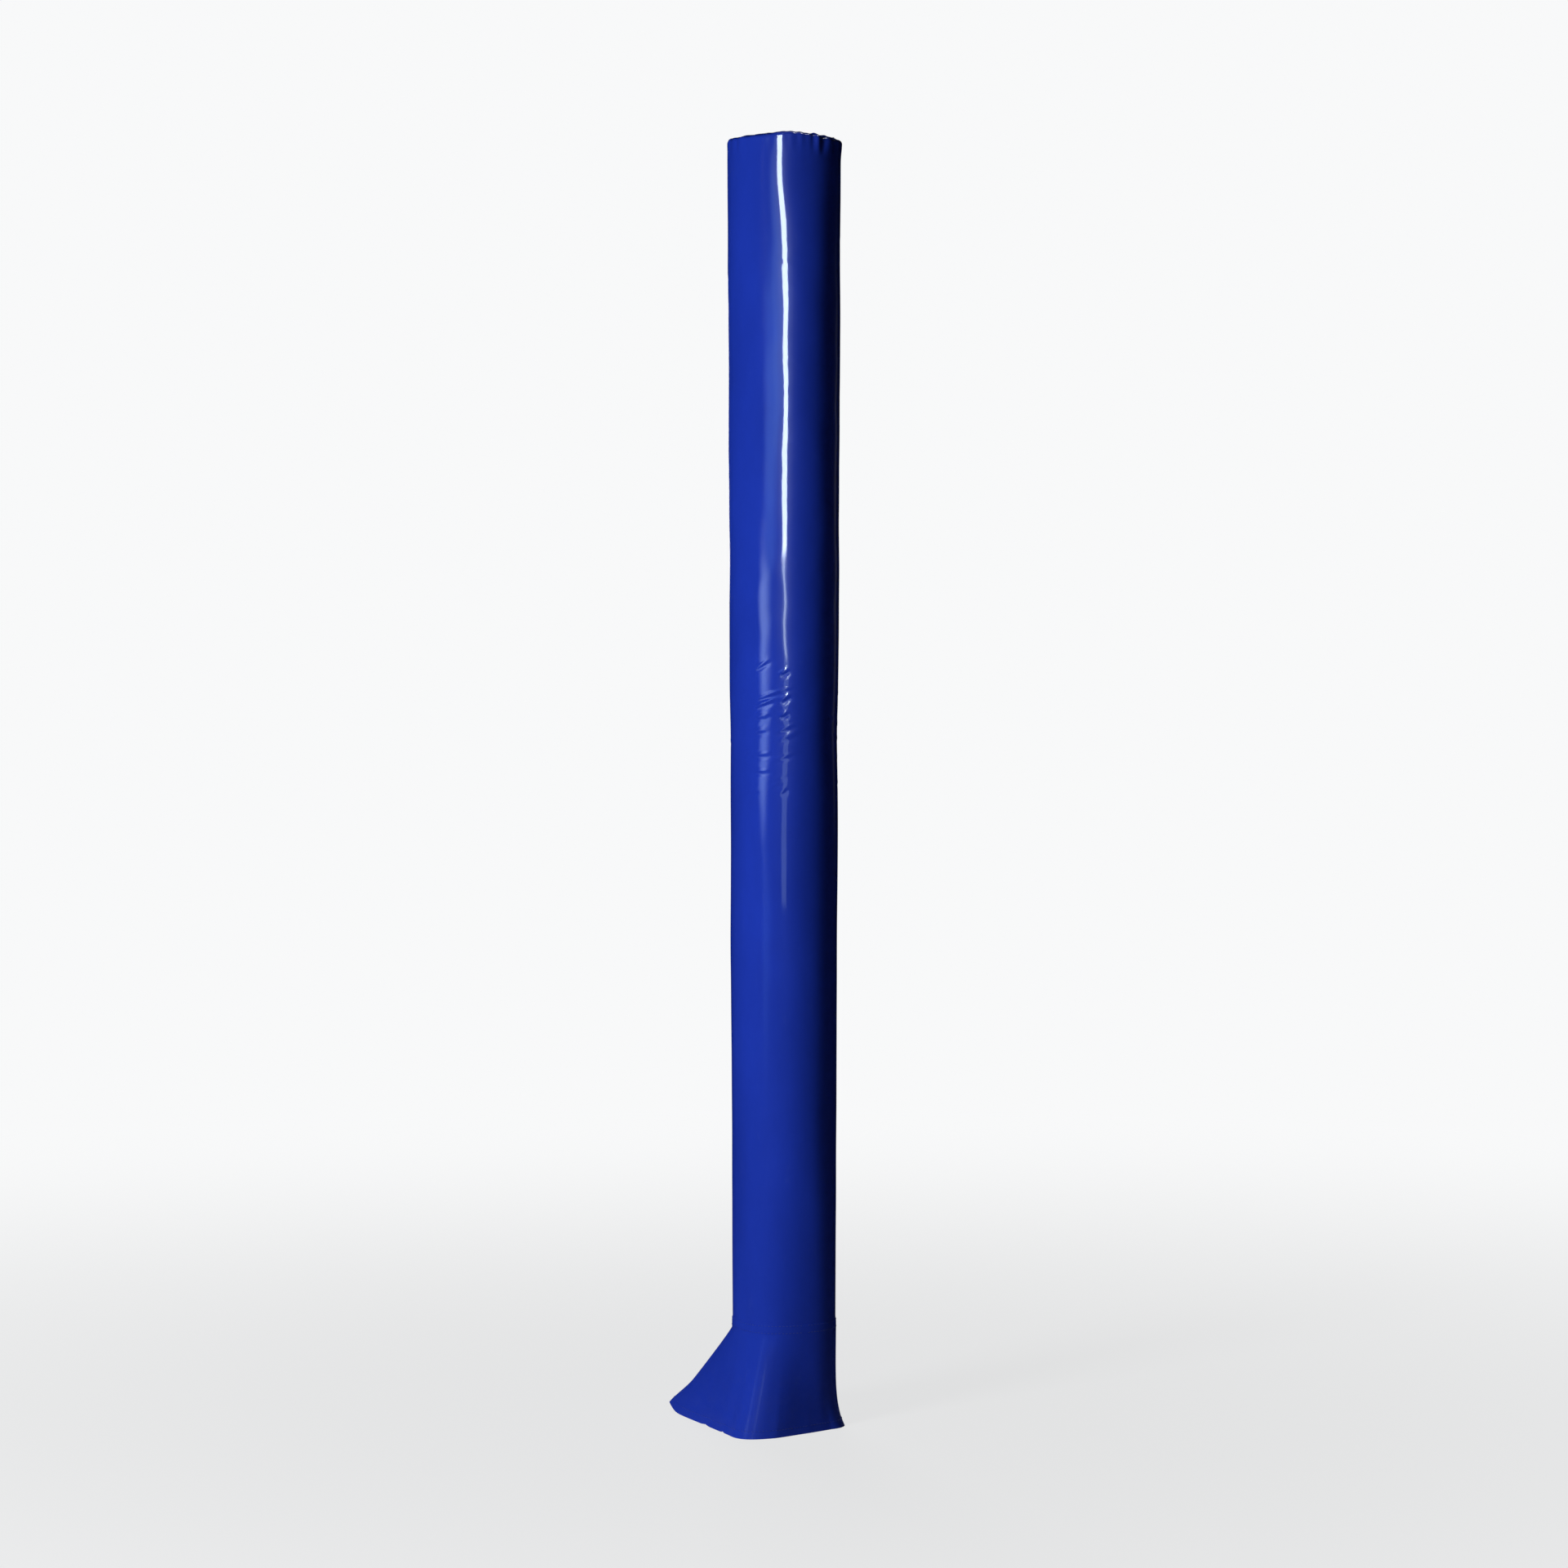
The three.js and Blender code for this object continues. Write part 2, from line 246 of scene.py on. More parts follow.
# The creases that the photo shows at the front left corner: place round the pad and height, length and
# width in millimetres, depth as a share of the size panel's crease depth, and rise in radians
SEEN_CREASES = (
    (232, 1470, 28, 3.0, 0.50, 0.55), (252, 1415, 66, 3.0, 0.55, 0.32), (236, 1397, 42, 2.8, 0.50, 0.30),
    (230, 1372, 32, 3.4, 0.45, 0.20), (228, 1345, 26, 4.0, 0.35, 0.10), (232, 1300, 32, 3.4, 0.40, 0.05),
    (230, 1268, 36, 3.0, 0.45, 0.00), (274, 1457, 17, 4.0, 0.75, 0.50), (276, 1407, 19, 4.0, 0.70, 0.60),
    (274, 1377, 15, 4.0, 0.72, 0.40), (272, 1330, 15, 4.0, 0.30, 0.30), (272, 1230, 15, 4.0, 0.35, 0.80),
)

# Slow swells: a share of the size panel's swell, what the upper half adds to it, the waves' lengths round
# the pad and up it, and the seed
SWELLS = ((0.32, 0.0, 170, 520, 3), (0.08, 0.10, 105, 190, 11), (0.0, 0.03, 50, 60, 23))
CREASE_SEED = 41

# How far the tarpaulin fills the waist out again, and the heights between which each effect comes or goes
WAIST_FILL = 1.9
UPPER_HALF = (1250, 1600)
BELLY_STARTS, BELLY_ENDS = (215, 560), (2250, 2440)
RELIEF_STARTS, RELIEF_CALMS = (215, 420), (2400, 2460)
GATHERS_START, RIM_STARTS = (2425, 2476), (2395, 2474)

# How calm the cloth is at the rear seam, and how far from it the relief sets in
SEAM_SHARE, SEAM_CALM, SEAM_GATHERS = 0.12, (48, 95), (20, 60)


def cover_relief(s, z, sizes):
    """How far the tarpaulin stands off its plain form, in millimetres: the belly, swells and creases."""
    swell = sizes.swell / MM
    fold = sizes.crease / MM
    across = np.clip((s - 2 * QUADRANT) / (0.5 * QUADRANT), -1, 1)
    belly = sizes.belly / MM * (0.5 + 0.5 * np.cos(math.pi * across))
    belly = belly * smooth(z, *BELLY_STARTS) * (1 - smooth(z, *BELLY_ENDS))
    high = smooth(z, *UPPER_HALF)
    relief = 0.0
    for share, added, length_s, length_z, seed in SWELLS:
        relief = relief + swell * (share + added * high) * waves(s, z, length_s, length_z, seed)
    relief = relief + WAIST_FILL * np.exp(-(((z - WAIST_LEVEL) / WAIST_SPREAD) ** 2))
    for at_s, at_z, length, width, depth, rise in SEEN_CREASES:
        relief = relief + crease(s, z, (at_s, at_z), length, width, fold * depth, rise)
    draw = np.random.RandomState(CREASE_SEED)
    for corner in range(4):
        middle = (corner + 0.5) * QUADRANT
        for _ in range(9):  # close ones about the waist
            at = (middle + draw.uniform(-40, 52), draw.normal(1340, 62))
            length, width = draw.uniform(18, 52), draw.uniform(2.6, 5.0)
            rise = draw.uniform(0.1, 0.75) * (1 if corner < 2 else -1)
            relief = relief + crease(s, z, at, length, width, fold * draw.uniform(0.15, 0.5), rise)
        for _ in range(5):  # faint ones above it
            at = (middle + draw.uniform(20, 60), draw.uniform(1560, 2420))
            length, width = draw.uniform(12, 30), draw.uniform(3.5, 6)
            rise = draw.uniform(0.2, 0.8) * draw.choice([-1, 1])
            relief = relief + crease(s, z, at, length, width, fold * draw.uniform(0.05, 0.13), rise)
    calm = SEAM_SHARE + (1 - SEAM_SHARE) * smooth(from_seam(s), *SEAM_CALM)
    relief = relief * smooth(z, *RELIEF_STARTS) * calm
    relief = relief * (1 - 0.5 * smooth(z, *RELIEF_CALMS))
    return belly + relief + gathers(s, sizes) * smooth(z, *GATHERS_START) ** 1.5


# The gathered rim's peak: its height, place in quadrants and width. Its sags: their depth and the places in
# quadrants where each starts, is full, eases off and ends
RIM_PEAK = (1.8, 1.80, 20)
RIM_SAGS = ((-4.0, 0.62, 1.08, 1.42, 1.72), (-4.8, 1.88, 2.34, 2.7, 3.2))


def rim_line(s):
    """How far the gathered rim stands above or below its plain height, in millimetres, round the pad."""
    height, place, width = RIM_PEAK
    line = height * np.exp(-(((s - place * QUADRANT) / width) ** 2))
    for depth, *places in RIM_SAGS:
        start, full, easing, end = (place * QUADRANT for place in places)
        line = line + depth * smooth(s, start, full) * (1 - smooth(s, easing, end))
    return line


# Where the gathers are strongest: place in quadrants and width, with their share elsewhere and what is added
# there. Their waves: length round the pad, seed, number of sines and share
GATHERS_PEAK = (2.45, 60, 0.38, 0.85)
GATHER_WAVES = ((21, 5, 9, 0.8), (38, 8, 7, 0.7))


def gathers(s, sizes):
    """The small folds of the drawn-in top hem, strongest at the front right corner."""
    place, width, elsewhere, added = GATHERS_PEAK
    strong = elsewhere + added * np.exp(-(((s - place * QUADRANT) / width) ** 2))
    seam = smooth(from_seam(s), *SEAM_GATHERS)
    folds = sum(ripples(s, length, seed, count) * share for length, seed, count, share in GATHER_WAVES)
    return sizes.gather / MM * strong * seam * folds


# The rows of the cover's grid: heights low down, then spans of height with the rows' distance in each
LOW_ROWS = (FOOT_LEVEL, 60, 120, 165, 190, 207, 222)
ROW_SPANS = ((232, 1180, 9.0), (1180, 1480, 3.0), (1480, 2424, 6.5))


def cover_levels():
    """Heights of the cover's rows, closest at the creases and the rolled top."""
    spans = [np.arange(*span) for span in ROW_SPANS]
    top = np.linspace(ROW_SPANS[-1][1], ROLL_LEVEL - 3, 12)
    roll = ROLL_LEVEL + TOP_ROLL * np.sin(np.radians(np.linspace(0, 90, 9)))
    return np.concatenate([LOW_ROWS, *spans, top, roll])


class CoverForm:
    """The whole cover as one grid of points, so that quadrants, end caps and skirt meet it exactly."""

    def __init__(self, sizes):
        round_it = stations()
        self.levels = cover_levels()
        plain = np.array([face_points(side, share, self.levels, COVER_OUT) for side, share in round_it])
        plain[0, :, 0] = -HALF_GAP
        plain[-1, :, 0] = HALF_GAP
        walked = walked_along(plain[:, len(self.levels) // 2])
        self.around = walked * GIRTH / walked[-1]
        s, z = np.meshgrid(self.around, self.levels, indexing="ij")
        self.points = plain + normals_of(plain) * cover_relief(s, z, sizes)[..., None]
        self.points[..., 2] += rim_line(s) * smooth(z, *RIM_STARTS)
        self.points[0, :, 0] = -HALF_GAP
        self.points[-1, :, 0] = HALF_GAP
        self.normals = normals_of(self.points)
        self.place = np.stack([s, z, z], -1)
        last = len(round_it) - 1
        middles = [i for i, (side, share) in enumerate(round_it) if share == 0 and side != "rear"]
        corners = [i for i, (_side, share) in enumerate(round_it) if share == -1]
        self.cuts = [0, *middles, last]
        self.mitres = [0, *corners, last]

    def quadrant(self, number):
        """The stations of a quadrant, from the middle of one face to the middle of the next."""
        return slice(self.cuts[number], self.cuts[number + 1] + 1)

    def panel(self, name):
        """The stations of a panel, from corner to corner or to the rear seam."""
        number = ("left_leaf", "left", "front", "right", "right_leaf").index(name)
        return slice(self.mitres[number], self.mitres[number + 1] + 1)

    def row_at(self, z, lift):
        """The outline of the cover at a height, lifted off its surface."""
        after = int(np.searchsorted(self.levels, z))
        share = (z - self.levels[after - 1]) / (self.levels[after] - self.levels[after - 1])
        points, normal = (
            a[:, after - 1] * (1 - share) + a[:, after] * share for a in (self.points, self.normals)
        )
        return points + normal / np.linalg.norm(normal, axis=-1, keepdims=True) * lift


# Each quadrant's number, the bodies before and after its corner, and the joint at the corner
QUADRANTS = {
    "rear_left": (0, "left_leaf", "left", "left_leaf_swing"),
    "front_left": (1, "left", "front", "left_side_swing"),
    "front_right": (2, "front", "right", "right_side_swing"),
    "rear_right": (3, "right", "right_leaf", "right_leaf_swing"),
}


# Meshes


def shell(name, outer, thick, place, normals=None, inner=None):
    """A closed thin body from a grid of points: its outer side, its inner side and the rim between them.
    The outer side faces along the grid's first direction crossed with its second."""
    normals = normals_of(outer) if normals is None else normals
    inner = outer - normals * np.asarray(thick)[..., None] if inner is None else inner
    nu, nv = outer.shape[:2]
    index = np.arange(nu * nv).reshape(nu, nv)
    a, b, c, d = index[:-1, :-1], index[1:, :-1], index[1:, 1:], index[:-1, 1:]
    front = np.stack([a, b, c, d], -1).reshape(-1, 4)
    back = front[:, ::-1] + nu * nv
    rims = []
    for edge in (index[::-1, 0], index[:, -1], index[0, :], index[-1, ::-1]):
        p, q = edge[:-1], edge[1:]
        rims.append(np.stack([p, q, q + nu * nv, p + nu * nv], -1))
    faces = np.concatenate([front, back, *rims])
    points = np.concatenate([outer.reshape(-1, 3), inner.reshape(-1, 3)])
    inward = -normals_of(inner).reshape(-1, 3)
    rim_faces = np.concatenate(rims)
    span_a = points[rim_faces[:, 2]] - points[rim_faces[:, 0]]
    span_b = points[rim_faces[:, 3]] - points[rim_faces[:, 1]]
    rim_normal = np.cross(span_a, span_b)
    rim_normal /= np.maximum(np.linalg.norm(rim_normal, axis=-1, keepdims=True), 1e-12)
    corner_normals = np.concatenate([
        normals.reshape(-1, 3)[front].reshape(-1, 3),
        inward[back - nu * nv].reshape(-1, 3),
        np.repeat(rim_normal, 4, axis=0),
    ])
    places = np.concatenate([place.reshape(-1, 3)] * 2)
    return body(name, points, faces.tolist(), corner_normals, places)


def linked(thing):
    """Puts a new object in the scene."""
    bpy.context.scene.collection.objects.link(thing)
    return thing


def smooth_mesh(name, points, faces):
    """A smooth mesh object from points in millimetres round the post's axis."""
    mesh = bpy.data.meshes.new(name)
    mesh.from_pydata((points * MM + POST_AXIS).tolist(), [], faces)
    mesh.polygons.foreach_set("use_smooth", [True] * len(mesh.polygons))
    return linked(bpy.data.objects.new(name, mesh))


def body(name, points, faces, corner_normals=None, places=None):
    """A mesh object whose points also know their places on the flat cloth, which the finishes follow."""
    thing = smooth_mesh(name, points, faces)
    if corner_normals is not None:
        thing.data.normals_split_custom_set(corner_normals.tolist())
    places = points if places is None else places
    layer = thing.data.attributes.new("cloth_place", "FLOAT_VECTOR", "POINT")
    layer.data.foreach_set("vector", (places * MM).astype(np.float32).ravel())
    return thing


def loft(name, rings):
    """A closed body through rings of points, with both ends closed by a fan from their middles."""
    count, size = rings.shape[:2]
    points = rings.reshape(-1, 3)
    index = np.arange(count * size).reshape(count, size)
    nxt = np.roll(index, -1, axis=1)
    faces = np.stack([index[:-1], nxt[:-1], nxt[1:], index[1:]], -1).reshape(-1, 4).tolist()
    ends = np.array([rings[0].mean(0), rings[-1].mean(0)])
    low, high = len(points), len(points) + 1
    faces += [[int(q), int(p), low] for p, q in zip(index[0], nxt[0])]
    faces += [[int(p), int(q), high] for p, q in zip(index[-1], nxt[-1])]
    return body(name, np.concatenate([points, ends]), faces)


# A stitch's rings along it: share of its reach, share of the thread's half thickness, and height in those
STITCH_RINGS = ((-0.5, 0.25, -0.6), (-0.3, 0.9, 0.05), (0.3, 0.9, 0.05), (0.5, 0.25, -0.6))
STITCH_SHARE = 0.68
THREAD_SIDES = 6


def stitches(name, runs, sizes, lift):
    """Rows of thread: each run is points and normals, and each stitch a small body half sunk in the cloth."""
    pitch, thick = sizes.stitch_pitch / MM, sizes.thread / MM / 2
    reach = STITCH_SHARE * sizes.stitch_pitch / MM
    turns = np.radians(np.arange(0, 360, 360 // THREAD_SIDES))
    last_ring = THREAD_SIDES * (len(STITCH_RINGS) - 1)
    points, faces = [], []
    for line, normal in runs:
        walked = walked_along(line)
        places = np.arange(pitch, walked[-1] - pitch / 2, pitch)
        at = at_distances(places, walked, line)
        ahead = at_distances(places + 1, walked, line) - at
        up = at_distances(places, walked, normal)
        ahead /= np.linalg.norm(ahead, axis=-1, keepdims=True)
        up -= ahead * (up * ahead).sum(-1, keepdims=True)
        up /= np.linalg.norm(up, axis=-1, keepdims=True)
        aside = np.cross(ahead, up)
        for p, f, u, w in zip(at, ahead, up, aside):
            first = len(points)
            for share, width, drop in STITCH_RINGS:
                middle = p + f * share * reach + u * (lift + drop * thick)
                points += [middle + thick * width * (math.cos(t) * u + math.sin(t) * w) for t in turns]
            for ring in range(first, first + last_ring, THREAD_SIDES):
                for k in range(THREAD_SIDES):
                    here, there = ring + k, ring + (k + 1) % THREAD_SIDES
                    faces.append((here, here + THREAD_SIDES, there + THREAD_SIDES, there))
            faces.append(tuple(first + k for k in range(THREAD_SIDES)))
            faces.append(tuple(first + last_ring + k for k in reversed(range(THREAD_SIDES))))
    return smooth_mesh(name, np.array(points), faces)


def bend_at(piece, quadrant):
    """Checks that a piece's corner joint joins the two bodies beside it, and bakes the piece's place into its
    points.
    """
    _, before, after, joint = QUADRANTS[quadrant]
    pair = next({j["parent"], j["child"]} for j in frame["joints"] if j["name"] == joint)
    assert pair == {before, after}
    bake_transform(piece)


# Finishes


class Nodes:
    """A node tree in the making, with short words for the nodes that the finishes and the stage share."""

    def __init__(self, tree):
        self.tree = tree

    def node(self, kind, **settings):
        """A new node with some of its settings."""
        made = self.tree.nodes.new(kind)
        for key, value in settings.items():
            setattr(made, key, value)
        return made

    def link(self, source, target):
        """Links a node's output to another's input."""
        self.tree.links.new(source, target)

    def fill(self, target, value):
        """Links a socket to another node's, or sets it to a plain value."""
        if isinstance(value, bpy.types.NodeSocket):
            self.link(value, target)
        else:
            target.default_value = value

    def ramp(self, source, low, high, start=0.0, end=1.0, curve="LINEAR"):
        """Maps low to start and high to end."""
        made = self.node("ShaderNodeMapRange", interpolation_type=curve)
        for key, value in zip(("From Min", "From Max", "To Min", "To Max"), (low, high, start, end)):
            made.inputs[key].default_value = value
        self.link(source, made.inputs["Value"])
        return made.outputs["Result"]

    def maths(self, operation, first, second):
        """One step of arithmetic on two sockets or numbers."""
        made = self.node("ShaderNodeMath", operation=operation)
        self.fill(made.inputs[0], first)
        self.fill(made.inputs[1], second)
        return made.outputs["Value"]

    def times(self, first, second):
        """The product of two sockets or numbers."""
        return self.maths("MULTIPLY", first, second)

    def vector_maths(self, operation, first, second=(0, 0, 0)):
        """One step of arithmetic on two vectors, or the length of the first."""
        made = self.node("ShaderNodeVectorMath", operation=operation)
        self.fill(made.inputs[0], first)
        self.fill(made.inputs[1], second)
        return made.outputs["Value" if operation == "LENGTH" else "Vector"]


class Finish(Nodes):
    """A material in the making, whose pattern follows the places on the flat cloth."""

    def __init__(self, name):
        self.material = bpy.data.materials.new(name)
        self.material.use_nodes = True
        super().__init__(self.material.node_tree)
        self.shader = self.tree.nodes["Principled BSDF"]
        self.place = self.node("ShaderNodeAttribute", attribute_name="cloth_place").outputs["Vector"]

    def surface(self, **values):
        """Sets the shader's own sockets, or links them where the value comes from another node."""
        for key, value in values.items():
            self.fill(self.shader.inputs[key.replace("_", " ")], value)

    def noise(self, scale, detail, stretch=(1, 1, 0), roughness=0.55):
        """Cloudy noise on the flat cloth, finer by the scale and stretched by direction."""
        spread = self.node("ShaderNodeMapping")
        spread.inputs["Scale"].default_value = stretch
        self.link(self.place, spread.inputs["Vector"])
        made = self.node("ShaderNodeTexNoise")
        made.inputs["Scale"].default_value = scale
        made.inputs["Detail"].default_value = detail
        made.inputs["Roughness"].default_value = roughness
        self.link(spread.outputs["Vector"], made.inputs["Vector"])
        return made.outputs["Fac"]

    def tint(self, share, first, second):
        """Mixes two colours."""
        made = self.node("ShaderNodeMix", data_type="RGBA")
        for key, value in ((0, share), (6, first), (7, second)):
            self.fill(made.inputs[key], value)
        return made.outputs[2]

    def along(self, axis):
        """One part of the place on the flat cloth: 0 across it, 1 up it, 2 the height above the floor."""
        parts = self.node("ShaderNodeSeparateXYZ")
        self.link(self.place, parts.inputs["Vector"])
        return parts.outputs[axis]

    def threads(self, spacing):
        """A plain weave: warp and weft that pass over and under each other."""
        turn = 2 * math.pi / spacing
        warp, weft = (self.maths("SINE", self.times(self.along(axis), turn), 0) for axis in (0, 1))
        return self.times(warp, weft)

    def bumps(self, *layers):
        """Bump nodes one after another, each of a height, a strength and a distance in metres."""
        before = None
        for height, strength, distance in layers:
            made = self.node("ShaderNodeBump")
            made.inputs["Strength"].default_value = strength
            made.inputs["Distance"].default_value = distance
            self.link(height, made.inputs["Height"])
            if before is not None:
                self.link(before, made.inputs["Normal"])
            before = made.outputs["Normal"]
        self.link(before, self.shader.inputs["Normal"])


def shade(colour, factor):
    """A colour made darker or lighter."""
    return tuple(min(1.0, part * factor) for part in colour[:3]) + (1.0,)


RUBBED_BLUE = (0.10, 0.16, 0.42, 1)
DUST = (0.12, 0.14, 0.18, 1)
DUST_SHARE = 0.05
DULL_SHINE = 0.08

# The weaves' thread spacing in metres
SCRIM, LINING, TAPE_WEAVE = 0.0022, 0.0016, 0.0028


def tarpaulin_finish(name, colour, gloss=0.3, coat=0.5):
    """Coated tarpaulin: a smooth skin over a scrim, with cloudy colour, dull rubs and dust near the floor."""
    make = Finish(name)
    cloud = make.ramp(make.noise(7, 5, (1, 0.45, 0)), 0.34, 0.7)
    base = make.tint(cloud, shade(colour, 0.9), shade(colour, 1.08))
    rub = make.ramp(make.noise(26, 8, (1.6, 0.5, 0), 0.7), 0.6, 0.78)
    base = make.tint(make.times(rub, 0.06), base, RUBBED_BLUE)
    low = make.ramp(make.along(2), 0.0, 0.3, 1.0, 0.0)
    speck = make.ramp(make.noise(60, 6, (1, 1, 0), 0.75), 0.42, 0.72)
    grime = make.times(make.times(low, low), speck)
    base = make.tint(make.times(grime, DUST_SHARE), base, DUST)
    dull = make.ramp(make.noise(14, 6, (1, 0.6, 0), 0.65), 0.3, 0.75, gloss, gloss + 0.08)
    shine = make.maths("SUBTRACT", coat, make.times(rub, 0.1 * coat))
    clean = make.ramp(make.along(2), 0.0, 0.5, 0.15, 1.0)
    make.surface(
        Base_Color=base, Roughness=make.maths("ADD", dull, make.times(low, 0.2)),
        Coat_Weight=make.times(shine, clean), Coat_Roughness=0.06, Specular_IOR_Level=DULL_SHINE,
    )
    make.bumps(
        (make.threads(SCRIM), 0.07, 0.0001),
        (make.noise(210, 3, (1, 1, 0)), 0.1, 0.0002),
        (make.noise(38, 3, (1, 0.7, 0)), 0.12, 0.0007),
    )
    return make.material


def cloth_finish(name, colour):
    """Woven lining cloth, matt and slightly fuzzy."""
    make = Finish(name)
    weave = make.threads(LINING)
    slub = make.noise(70, 5, (1, 0.12, 0), 0.7)
    cloud = make.ramp(make.noise(9, 4), 0.3, 0.75)
    base = make.tint(cloud, shade(colour, 0.8), shade(colour, 1.15))
    base = make.tint(make.ramp(weave, -1, 1, 0.0, 0.35), base, shade(colour, 0.45))
    make.surface(Base_Color=base, Roughness=make.ramp(slub, 0.3, 0.7, 0.78, 0.95),
                 Specular_IOR_Level=DULL_SHINE, Sheen_Weight=0.35)
    make.bumps((weave, 0.5, 0.0003), (slub, 0.3, 0.0004), (make.noise(30, 3), 0.3, 0.001))
    return make.material


def foam_finish(name, colour):
    """Closed-cell foam: pale, matt and pitted, a little yellowed, with painted shade in its pits."""
    make = Finish(name)
    cells = make.node("ShaderNodeTexVoronoi")
    cells.inputs["Scale"].default_value = 520
    make.link(make.place, cells.inputs["Vector"])
    yellow = make.ramp(make.noise(5, 5, (1, 1, 1)), 0.35, 0.7)
    aged = (colour[0] * 0.95, colour[1] * 0.88, colour[2] * 0.7, 1)
    base = make.tint(yellow, shade(colour, 1.0), aged)
    # Painted shade: the foam is darker at the middles of its cells, where the bump sinks them into pits.
    base = make.tint(make.ramp(cells.outputs["Distance"], 0, 0.6, 0.25, 0.0), base, shade(colour, 0.5))
    make.surface(Base_Color=base, Roughness=make.ramp(cells.outputs["Distance"], 0, 0.6, 0.98, 0.86),
                 Specular_IOR_Level=DULL_SHINE)
    make.bumps((cells.outputs["Distance"], 0.5, 0.0006), (make.noise(60, 4, (1, 1, 1)), 0.3, 0.001))
    return make.material


def tape_finish(name, colour, scale):
    """Hook or loop tape: black nylon with a pile, with painted shade in its hollows and painted light on its
    raised tufts.
    """
    make = Finish(name)
    pile = make.noise(scale, 6, (1, 1, 0), 0.8)
    # Painted shade and light: the pile is darker where the bump sinks it and lighter where it stands up.
    base = make.tint(make.ramp(pile, 0.35, 0.7), shade(colour, 0.6), shade(colour, 2.6))
    make.surface(Base_Color=base, Roughness=make.ramp(pile, 0.3, 0.7, 0.98, 0.75),
                 Specular_IOR_Level=0.085, Sheen_Weight=0.4)
    make.bumps((pile, 0.8, 0.0009), (make.threads(TAPE_WEAVE), 0.4, 0.0004))
    return make.material


def thread_finish(name, colour):
    """Twisted polyester thread, with painted shade in the grooves of its twist."""
    make = Finish(name)
    twist = make.node("ShaderNodeTexWave")
    twist.inputs["Scale"].default_value = 900
    coordinates = make.node("ShaderNodeTexCoord")
    make.link(coordinates.outputs["Object"], twist.inputs["Vector"])
    # Painted shade: the twist is darker in its grooves and lighter on its ridges, as the bump raises them.
    base = make.tint(twist.outputs["Fac"], shade(colour, 0.7), shade(colour, 1.2))
    make.surface(Base_Color=base, Roughness=make.ramp(twist.outputs["Fac"], 0, 1, 0.6, 0.45))
    make.bumps((twist.outputs["Fac"], 0.3, 0.0001))
    return make.material


def finished(piece, material):
    """Gives a piece its finish."""
    piece.data.materials.append(material)
    return piece


def named_material(name):
    """A finish that was made before."""
    found = bpy.data.materials.get(name)
    if found is None:
        raise RuntimeError(f"the finish {name} isn't made yet: run the finishes first")
    return found


# Sizes and colours that a user would change


def length(name, description, default):
    """A length in metres for the panel."""
    return bpy.props.FloatProperty(
        name=name, description=description, default=default, min=0.0, precision=4,
        subtype="DISTANCE", unit="LENGTH",
    )


def colour(name, description, default):
    """A colour for the panel."""
    return bpy.props.FloatVectorProperty(
        name=name, description=description, default=default, size=4, min=0.0, max=1.0, subtype="COLOR"
    )


class PadSizes(bpy.types.PropertyGroup):
    """How lively the tarpaulin is, and how the thread is laid."""

    belly: length("Belly", "How far the front panel stands out along its middle", 0.0062)
    swell: length("Swell", "How far the tarpaulin bellies out and in along the panels", 0.0011)
    crease: length("Creases", "Height of the folds in the tarpaulin at the waist", 0.0017)
    gather: length("Gathers", "Height of the small folds of the drawn-in top hem", 0.0012)
    stitch_pitch: length("Stitch pitch", "Distance from one stitch to the next", 0.0070)
    thread: length("Thread", "Thickness of the sewing thread", 0.0011)


class PadColours(bpy.types.PropertyGroup):
    """The colours of the pad's materials and of the floor."""

    tarpaulin: colour("Tarpaulin", "The cover, the skirt and the flap", (0.0116, 0.037, 0.402, 1))
    inner_tarpaulin: colour(
        "Tarpaulin's inner side", "The foot caps and the anchor strip", (0.008, 0.022, 0.19, 1)
    )
    liner: colour("Liner", "The lining cloth round the foam", (0.20, 0.21, 0.22, 1))
    foam: colour("Foam", "The foam panels", (0.78, 0.76, 0.70, 1))
    tape: colour("Tape", "The hook and loop tapes", (0.012, 0.012, 0.014, 1))
    thread: colour("Thread", "The sewing thread", (0.012, 0.034, 0.30, 1))
    floor: colour("Floor", "The floor and the background", (0.94, 0.945, 0.95, 1))


def settings():
    """The sizes and the colours that the panel shows."""
    return bpy.context.scene.pad_sizes, bpy.context.scene.pad_colours


_made = {}


def made_once(name, make):
    """What make gives for the sizes in the panel, worked out again only when those change."""
    sizes = settings()[0]
    key = (name, sizes.belly, sizes.swell, sizes.crease, sizes.gather)
    if key not in _made:
        _made[key] = make(sizes)
    return _made[key]


def cover_form():
    """The cover's grid, which the caps, the skirt and the stitching share."""
    return made_once("cover", CoverForm)


# Pieces


def make_cover():
    """The tarpaulin in four quadrants, which meet at the middles of the faces."""
    form = cover_form()
    for name, (number, before, after, _joint) in QUADRANTS.items():
        part = form.quadrant(number)
        piece = shell(f"cover_{name}", form.points[part], COVER_THICK, form.place[part], form.normals[part])
        finished(piece, named_material("blue_tarpaulin"))
        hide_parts(f"{before}_cover", f"{after}_cover")
        bend_at(piece, name)


def closing_edge(n):
    """How far a leaf's closing edge stands back from the seam, so that its inner corner swings clear."""
    drop = max(0.0, HINGE_REACH - n)
    return HINGE_REACH - math.sqrt((WEDGE_REACH - HALF_GAP) ** 2 - drop * drop)


INNER_STEPS = 10
LINER_ROWS = np.concatenate([
    np.arange(2.2, 1310, 22.0), np.arange(1312, 1350, 4.0), np.arange(1360, 2470, 22.0), [2477.5],
])
PUFF, QUILT, QUILT_WIDTH = 0.25, 0.7, 5


